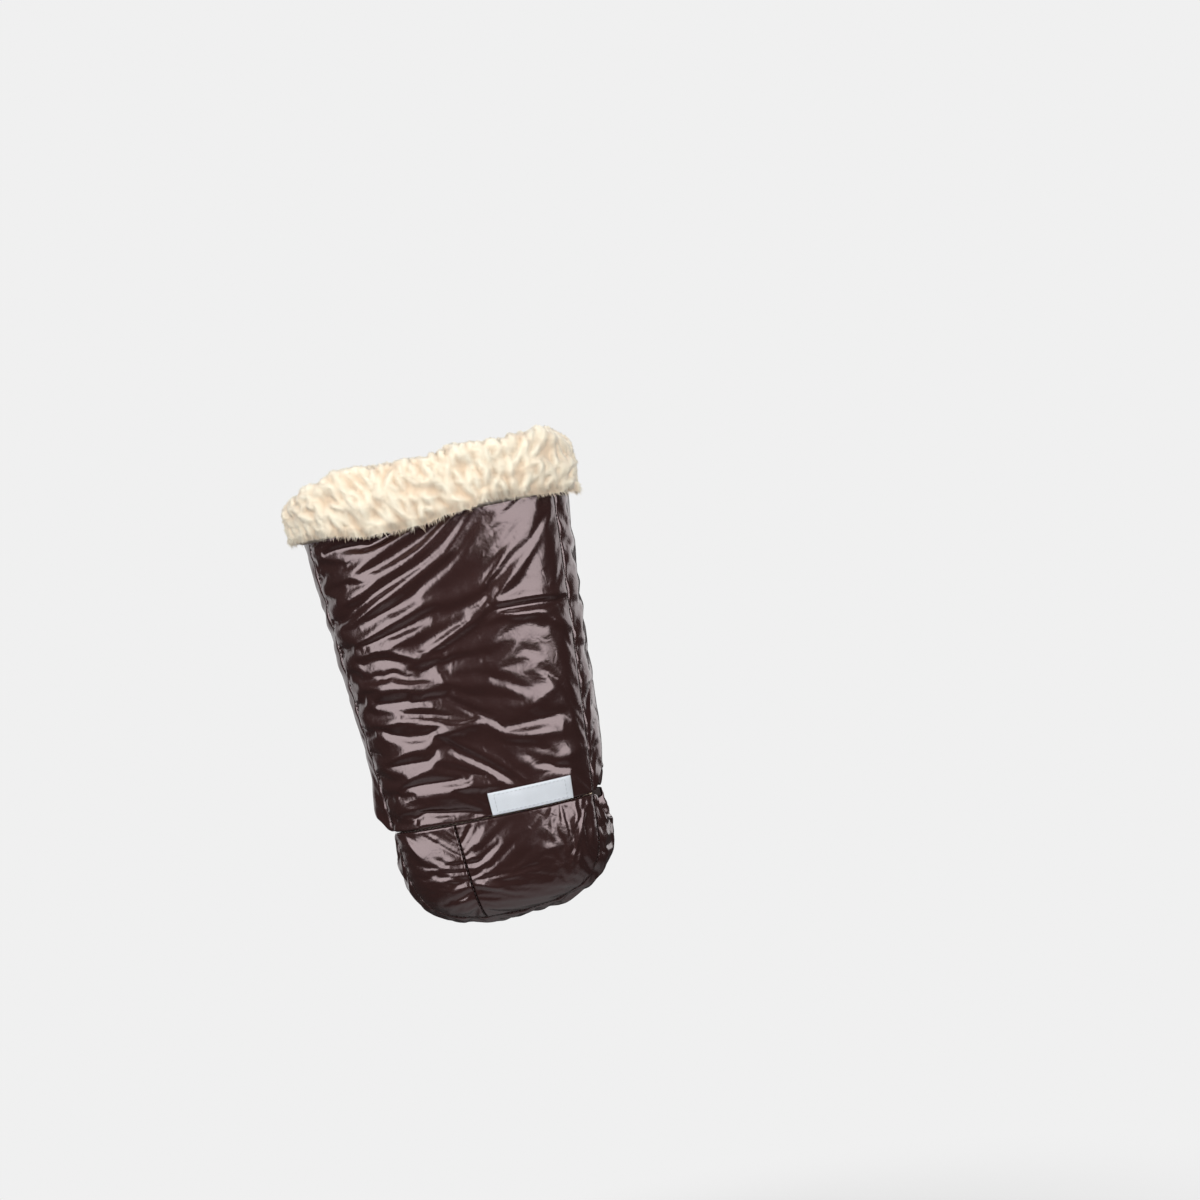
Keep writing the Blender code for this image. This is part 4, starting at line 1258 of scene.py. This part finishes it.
# %% Linings
lining_heights = sleeve_rows(SLEEVE_LOW, LINING_TOP, LINING_STEP)
front_count, back_count = round(FRONT_ARC / LINING_STEP), round(BACK_ARC / LINING_STEP)
front_lining_wall = np.stack([plan_arc(z, front_edge, front_count) for z in lining_heights])
back_lining_wall = notched_rows(len(lining_heights), back_count, SLEEVE_LOW, LINING_TOP, back_edge)
plush_front = make_lining("plush_front", [front_lining_wall], 41)
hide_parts("front_lining")
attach(plush_front, "sleeve")
plush_back = make_lining("plush_back", [back_lining_wall], 42)
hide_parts("back_lining")
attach(plush_back, "sleeve")
plush_pouch = make_lining("plush_pouch", [left_wall, right_wall], 43, sag)
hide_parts("pouch_front_lining")
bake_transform(plush_pouch)
plush_wrap = make_lining("plush_wrap", [wrap_grid], 45, sag)
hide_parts("pouch_wrap_lining")
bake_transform(plush_wrap)

# %% [markdown]
# ## Woven finishes
# The label, the facings and the closure's tapes are woven. A plain weave is warp and weft threads that
# take turns on top, which two crossed sine waves imitate. They run on the UV map, which is in metres, so
# one thread has its true width on every piece.

# %% Weave group
weave, weave_in, weave_out = new_group("plain_weave", "Height", Thread=0.0004)
uv = add_node(weave, "ShaderNodeTexCoord").outputs["UV"]
along_threads = add_node(weave, "ShaderNodeSeparateXYZ", None, {0: uv})
frequency = math_node(weave, "DIVIDE", math.pi, weave_in["Thread"])
warp, weft = (
    math_node(weave, "SINE", math_node(weave, "MULTIPLY", along_threads.outputs[axis], frequency))
    for axis in ("X", "Y")
)
crossing = math_node(weave, "MULTIPLY", warp, weft)
weave.links.new(math_node(weave, "MULTIPLY_ADD", crossing, 0.5, 0.5), weave_out["Height"])
print("group:", weave.name)


# %% Woven finishes and thread
def make_woven(name, colour, thread, roughness, sheen):
    """A woven cloth: its threads show in the bump and, a little, in the tone."""
    finish, tree, shader = new_finish(name)
    threads = use_group(tree, weave, Thread=thread)
    patch_tone = use_group(tree, patchy, Patch=0.012, Spread=0.05)
    thread_tone = math_node(tree, "MULTIPLY_ADD", threads, 0.16, 0.92)
    dye(tree, shader, colour, math_node(tree, "MULTIPLY", patch_tone, thread_tone))
    emboss(tree, shader, threads, thread / 2, 0.6)
    set_inputs(shader, Roughness=roughness, Sheen_Weight=sheen)
    return finish


def make_thread_finish(name, colour):
    finish, tree, shader = new_finish(name)
    dye(tree, shader, colour, use_group(tree, patchy, Patch=0.004, Spread=0.1))
    set_inputs(shader, Roughness=0.5, Sheen_Weight=0.1)
    return finish


damask = make_woven("label_damask", (0.74, 0.78, 0.83, 1.0), 0.0003, 0.55, 0.1)
binding = make_woven("facing_binding", (0.030, 0.016, 0.014, 1.0), 0.0005, 0.75, 0.15)
closure = make_woven("closure_tape", (0.018, 0.012, 0.011, 1.0), 0.0004, 0.8, 0.2)
thread_finish = make_thread_finish("sewing_thread", (0.034, 0.018, 0.016, 1.0))
label_thread_finish = make_thread_finish("label_thread", (0.55, 0.58, 0.62, 1.0))
print("finishes:", [finish.name for finish in bpy.data.materials])

# %% [markdown]
# ## Label
# A folded damask label is sewn on just above the waist seam, right of the middle. It is bare. As a sheet it
# is a grid on the surface, a touch proud of the nylon, with corners that lift by a fraction of a millimetre.

# %% Label
LABEL_THICK = 0.0006
LABEL_COLUMNS, LABEL_ROWS = 29, 10
CORNER_LIFT = 0.0007


def front_strip(x, z):
    """A grid on the front of the surface, with columns at x and rows at z."""
    x, z = np.meshgrid(x, z)
    return on_front(np.stack([x, np.zeros(x.shape), z], axis=-1))


label_wall = front_strip(
    np.linspace(LABEL_LEFT_X, LABEL_LEFT_X + LABEL_WIDTH, LABEL_COLUMNS),
    np.linspace(LABEL_LOW, LABEL_LOW + LABEL_HEIGHT, LABEL_ROWS),
)
label_x, label_z = label_wall[..., 0], label_wall[..., 2]
across_label = (label_x - LABEL_LEFT_X) / LABEL_WIDTH
up_label = (label_z - LABEL_LOW) / LABEL_HEIGHT
corner_lift = CORNER_LIFT * up_label**2 * (2 * across_label - 1) ** 4
label_depth = -(LAYER_GAP + LABEL_THICK + corner_lift)
label_sheet = lay_grid("woven_label", sunk(label_wall, label_depth))
apply_modifier(label_sheet, "SOLIDIFY", thickness=LABEL_THICK, offset=-1.0)
apply_modifier(label_sheet, "BEVEL", width=0.0002, segments=1)
label_sheet.data.shade_smooth()
label_sheet.data.materials.append(damask)
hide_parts("label")
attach(label_sheet, "sleeve")

# %% [markdown]
# ## Facings
# Where the pouch opens at the back, a woven binding closes the free edges of the sleeve and of the pouch,
# so that no batting shows. Both are short padded strips inside the wall.

# %% Facings
FACING_COLUMNS, FACING_ROWS = 60, 4


def make_facing(name, low, high):
    """A padded strip of binding along a free edge, between the two side openings."""
    heights = np.linspace(low, high, FACING_ROWS)
    wall = np.stack([plan_arc(z, OPENING_RADIUS, FACING_COLUMNS, back=True) for z in heights])
    facing = lay_grid(name, sunk(wall, BATTING_NEAR))
    fill(facing, sunk(wall, BATTING_FAR))
    dress(facing, binding)
    return facing


sleeve_binding = make_facing("sleeve_binding", SLEEVE_LOW, SLEEVE_LOW + FACING_HEIGHT)
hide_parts("back_facing")
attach(sleeve_binding, "sleeve")
pouch_binding = make_facing("pouch_binding", POUCH_HIGH - FACING_HEIGHT, POUCH_HIGH)
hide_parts("pouch_facing")
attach(pouch_binding, "pouch")

# %% [markdown]
# ## Closure
# The pouch is held shut by a padded nylon tab. Its root is sewn to the pouch, it reaches up over the gap,
# and its hook tape grips a loop tape on the sleeve. The tapes are thin woven strips with a short pile of
# hooks or loops, which is grown like the plush, only finer.

# %% Tapes
TAPE_WIDTH = 0.100
TAPE_HEIGHT = 0.022
TAPE_LOW = 0.00945
TAPE_BASE = 0.0006
TAPE_PILE = 0.0006
TAPE_FIBRE_SPACING = 0.0011
TAPE_STEP = 0.002


def back_strip(width, low, high, step):
    """A grid on the back of the sleeve, as wide as given and centred, running right to left."""
    across = np.linspace(width / 2, -width / 2, round(width / step) + 1)
    return front_strip(across, sleeve_rows(low, high, step)) * np.array([1.0, -1.0, 1.0])


def make_tape(name, base_depth, pile_side, seed):
    """A strip of closure tape whose base lies at a depth and whose pile stands out of it or into it."""
    wall = back_strip(TAPE_WIDTH, TAPE_LOW, TAPE_LOW + TAPE_HEIGHT, TAPE_STEP)
    base = sunk(wall, base_depth)
    tape = lay_grid(name, base)
    apply_modifier(tape, "SOLIDIFY", thickness=TAPE_BASE, offset=-pile_side)
    tape.data.shade_smooth()
    tape.data.materials.append(closure)
    rooted, level = base[:, ::pile_side], np.zeros(wall.shape[:2])
    look = {"finish": closure, "slot": "tape"}
    pile = grow_fibres(name + "_pile", rooted, level, TAPE_FIBRE_SPACING, TAPE_PILE, seed, **look)
    return tape, pile, tuple(grid_size(wall).tolist())


# %% Tapes in place
LOOP_NEAR, HOOK_FAR = -0.0004, -0.0038
loops, loop_pile, tape_flat = make_tape("loop_strip", LOOP_NEAR - TAPE_BASE, 1, 51)
hooks, hook_pile, _ = make_tape("hook_strip", HOOK_FAR + TAPE_BASE, -1, 52)
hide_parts("loop_tape")
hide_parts("hook_tape")
for tape, pile in ((loops, loop_pile), (hooks, hook_pile)):
    print(tape.name + ", flat:", [round(side, 4) for side in tape_flat])
for piece in (loops, loop_pile):
    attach(piece, "sleeve")
for piece in (hooks, hook_pile):
    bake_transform(piece)

# %% Tab and its root
TAB_NEAR, TAB_FAR = -0.0042, -0.0066
TAB_ROOT_HEIGHT = 0.012
TAB_STITCH_INSET = 0.004
TAB_STITCH_WIDTH = 0.0010
TAB_PUFF = 0.0011
TAB_RIPPLE = 0.00015
TAB_STEP = 0.0012


def from_edge(wall):
    """How far each point of a strip lies from the nearest edge of it, in metres."""
    steps = grid_steps(wall)
    rows, columns = wall.shape[:2]
    from_side = np.minimum(np.arange(columns), np.arange(columns)[::-1])[None] * steps[0]
    from_end = np.minimum(np.arange(rows), np.arange(rows)[::-1])[:, None] * steps[1]
    return np.minimum(from_side, from_end)


def make_tab(name, low, high, near, far):
    """A padded nylon strip whose topstitching presses a groove along its edge."""
    wall = back_strip(TAB_WIDTH, low, high, TAB_STEP)
    inset = from_edge(wall)
    groove_depth = np.exp(-(((inset - TAB_STITCH_INSET) / TAB_STITCH_WIDTH) ** 2))
    rng = np.random.default_rng(61)
    ripple = waves(wall[..., 0], wall[..., 2], rng, 0.005, 0.016, 0, 180) * TAB_RIPPLE
    puff = TAB_PUFF * (1 - 0.9 * groove_depth) + ripple * (inset > 0)
    piece = lay_grid(name, sag(sunk(wall, far + TAB_PUFF - puff)))
    fill(piece, sag(sunk(wall, near)))
    dress(piece, nylon)
    return piece


nylon_tab = make_tab("nylon_tab", POUCH_HIGH + LAYER_GAP, POUCH_HIGH + TAB_HEIGHT, TAB_NEAR, TAB_FAR)
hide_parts("closing_tab")
nylon_root = make_tab("nylon_root", POUCH_HIGH - TAB_ROOT_HEIGHT, POUCH_HIGH, LOOP_NEAR, TAB_FAR)
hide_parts("tab_root")
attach(nylon_root, "pouch")
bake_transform(nylon_tab)

# %% [markdown]
# ## Seam stitches
# Every seam shows short stitches of polyester thread with a little gap between them. One stitch is a small
# ball, stretched along the seam. It is modelled once, copied along each seam's line, and each seam's copies
# are joined into one row.

# %% One stitch and a row of them
STITCH_LENGTH = 0.0022
STITCH_PITCH = 0.0029
THREAD_DIAMETER = 0.0006

bpy.ops.object.select_all(action="DESELECT")
bpy.ops.mesh.primitive_uv_sphere_add(segments=6, ring_count=4, radius=0.5)
stitch = bpy.context.object
stitch.name = "stitch"
stitch.scale = (THREAD_DIAMETER, THREAD_DIAMETER, STITCH_LENGTH)
bpy.ops.object.transform_apply(location=True, rotation=True, scale=True)
stitch.data.shade_smooth()
stitch.data.materials.append(thread_finish)


def stitch_row(name, line):
    """Copies of the stitch along a line of points, joined."""
    ends = even_steps(line, 2 * max(round(line_length(line) / STITCH_PITCH), 1) + 1)
    copies = []
    for start, middle, end in zip(ends[:-2:2], ends[1::2], ends[2::2]):
        copy = stitch.copy()
        copy.data = stitch.data.copy()
        turn = Vector(end - start).to_track_quat("Z", "Y").to_matrix().to_4x4()
        copy.data.transform(Matrix.Translation(Vector(middle)) @ turn)
        bpy.context.scene.collection.objects.link(copy)
        copies.append(copy)
    row = join_pieces(name, copies)
    print(name + ":", len(copies), "stitches")
    return row


# %% Rows along the seams
THREAD_DEPTH = 0.0004
SIDE_SEAM_START = 0.002
seam_heights = np.linspace(WAIST_HEIGHT + SIDE_SEAM_START, CUFF_LOW, 60)
side_ends = np.stack([plan_arc(z, SIDE_SEAM_Y, 2) for z in seam_heights])
waist_line = plan_arc(WAIST_HEIGHT, SIDE_SEAM_Y, FINE)
cuff_line = ring(CUFF_LOW - SEAM_CLEAR, np.linspace(0.0, 2 * np.pi, FINE))
sleeve_seams = {
    "left_side_thread": sunk(side_ends[:, 0], THREAD_DEPTH),
    "right_side_thread": sunk(side_ends[:, 1], THREAD_DEPTH),
    "waist_thread": sunk(waist_line, THREAD_DEPTH),
    "cuff_thread": sunk(cuff_line, PLUSH_NEAR + LINING_BACK + LINING_TUFTS),
}
for node, line in sleeve_seams.items():
    row = stitch_row(node.replace("thread", "stitches"), line)
    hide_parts(node)
    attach(row, "sleeve")

panel_line = line_at(PANEL_SEAM_X, left_wall[0, -1, 2], pouch_top)
panel_row = stitch_row("panel_stitches", sag(sunk(panel_line, THREAD_DEPTH)))
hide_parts("panel_thread")
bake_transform(panel_row)
rim_seam = rim_line(SIDE_SEAM_Y, pouch_top)
rim_row = stitch_row("rim_stitches", sag(sunk(rim_seam, THREAD_DEPTH)))
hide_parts("rim_thread")
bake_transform(rim_row)

# %% Stitches round the label
label_face = sunk(label_wall, label_depth)[1:-1, 2:-2]
label_line = np.concatenate([label_face[0], label_face[:, -1], label_face[-1, ::-1], label_face[::-1, 0]])
label_row = stitch_row("label_stitches", label_line)
label_row.data.materials[0] = label_thread_finish
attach(label_row, "sleeve")
bpy.data.objects.remove(stitch)

# %% [markdown]
# ## Stage, light and camera
# The muff hangs over a plain pale floor. Two large softboxes stand left and right of the camera, which
# leaves a dark strip down the middle of the gloss and a bright band on each side of it. Weaker boxes
# behind give the edges their thin light rim, and one overhead lights the top of the plush.

# %% Floor
FLOOR_HEIGHT = -0.40
FLOOR_RADIUS = 1.6
FLOOR_GREY = (0.55, 0.55, 0.55, 1.0)
bpy.ops.object.select_all(action="DESELECT")
bpy.ops.mesh.primitive_circle_add(
    vertices=96, radius=FLOOR_RADIUS, fill_type="NGON", location=(0, 0, FLOOR_HEIGHT)
)
floor = bpy.context.object
floor.name = "floor"
bpy.ops.object.transform_apply(location=True, rotation=True, scale=True)


def make_floor_finish():
    finish, tree, shader = new_finish("pale_floor")
    dye(tree, shader, FLOOR_GREY, use_group(tree, patchy, Patch=0.4, Spread=0.01))
    set_inputs(shader, Roughness=0.9)
    place = add_node(tree, "ShaderNodeTexCoord").outputs["Object"]
    distance = add_node(tree, "ShaderNodeVectorMath", {"operation": "LENGTH"}, {0: place}).outputs["Value"]
    fade = add_node(
        tree,
        "ShaderNodeMapRange",
        {"interpolation_type": "SMOOTHSTEP"},
        {"Value": distance, "From Min": 0.25, "From Max": 0.7, "To Min": 1.0, "To Max": 0.0},
    )
    tree.links.new(fade.outputs[0], shader.inputs["Alpha"])
    return finish


floor.data.materials.append(make_floor_finish())
print("floor at", FLOOR_HEIGHT)

# %% Softboxes
BOX_LIGHT = 3.5
BOX_AIM = Vector((0.0, 0.0, 0.1))


def add_softbox(name, azimuth, elevation, distance, width, height, share):
    """An area light that faces the muff. Its share of BOX_LIGHT is the brightness of its surface."""
    data = bpy.data.lights.new(name, "AREA")
    data.shape = "RECTANGLE"
    data.size, data.size_y = width, height
    data.energy = BOX_LIGHT * share * math.pi * width * height
    turn, rise = math.radians(azimuth), math.radians(elevation)
    away = Vector((math.sin(turn) * math.cos(rise), -math.cos(turn) * math.cos(rise), math.sin(rise)))
    box = bpy.data.objects.new(name, data)
    box.location = BOX_AIM + away * distance
    box.rotation_euler = (-away).to_track_quat("-Z", "Y").to_euler()
    bpy.context.scene.collection.objects.link(box)


add_softbox("softbox_left", -42, 17, 1.6, 1.4, 1.5, 1.0)
add_softbox("softbox_right", 42, 17, 1.6, 1.4, 1.5, 1.0)
add_softbox("softbox_back_left", -140, 10, 1.6, 1.2, 1.4, 0.2)
add_softbox("softbox_back_right", 140, 10, 1.6, 1.2, 1.4, 0.45)
add_softbox("softbox_top", 0, 88, 1.6, 1.0, 1.0, 0.7)
add_softbox("softbox_behind", 180, 40, 1.8, 1.2, 1.0, 0.8)
print("softboxes:", len(bpy.data.lights))

# %% Surroundings
DIM_ROOM = (0.04, 0.04, 0.04, 1.0)
PALE_BACKDROP = (0.871, 0.871, 0.871, 1.0)
studio = bpy.data.worlds.new("studio")
studio.use_nodes = True
bpy.context.scene.world = studio
room = studio.node_tree
seen_directly = add_node(room, "ShaderNodeLightPath").outputs["Is Camera Ray"]
backdrop = mix_colours(room, DIM_ROOM, PALE_BACKDROP, seen_directly)
room.links.new(backdrop, room.nodes["Background"].inputs["Color"])
bpy.context.scene.view_settings.view_transform = "Standard"
print("world:", studio.name)

# %% Camera
CAMERA_AZIMUTH = math.radians(6)
CAMERA_RISE = math.radians(2)
CAMERA_ROLL = math.radians(12)
FRAME_WIDTH = 0.816
LENS = 85.0
SENSOR = 36.0
AIM_RIGHT, AIM_UP = 0.0687, 0.1462

camera_data = bpy.data.cameras.new("camera")
camera_data.lens = LENS
camera_data.sensor_width = SENSOR
camera = bpy.data.objects.new("camera", camera_data)
bpy.context.scene.collection.objects.link(camera)
bpy.context.scene.camera = camera

back = Vector((
    math.sin(CAMERA_AZIMUTH) * math.cos(CAMERA_RISE),
    -math.cos(CAMERA_AZIMUTH) * math.cos(CAMERA_RISE),
    math.sin(CAMERA_RISE),
))
level_right = Vector((math.cos(CAMERA_AZIMUTH), math.sin(CAMERA_AZIMUTH), 0.0))
level_up = back.cross(level_right)
right = math.cos(CAMERA_ROLL) * level_right - math.sin(CAMERA_ROLL) * level_up
up = math.sin(CAMERA_ROLL) * level_right + math.cos(CAMERA_ROLL) * level_up
seat = right * AIM_RIGHT + up * AIM_UP + back * (FRAME_WIDTH * LENS / SENSOR)
camera.matrix_world = Matrix((
    (right.x, up.x, back.x, seat.x),
    (right.y, up.y, back.y, seat.y),
    (right.z, up.z, back.z, seat.z),
    (0.0, 0.0, 0.0, 1.0),
))
print("camera at", [round(value, 3) for value in seat])
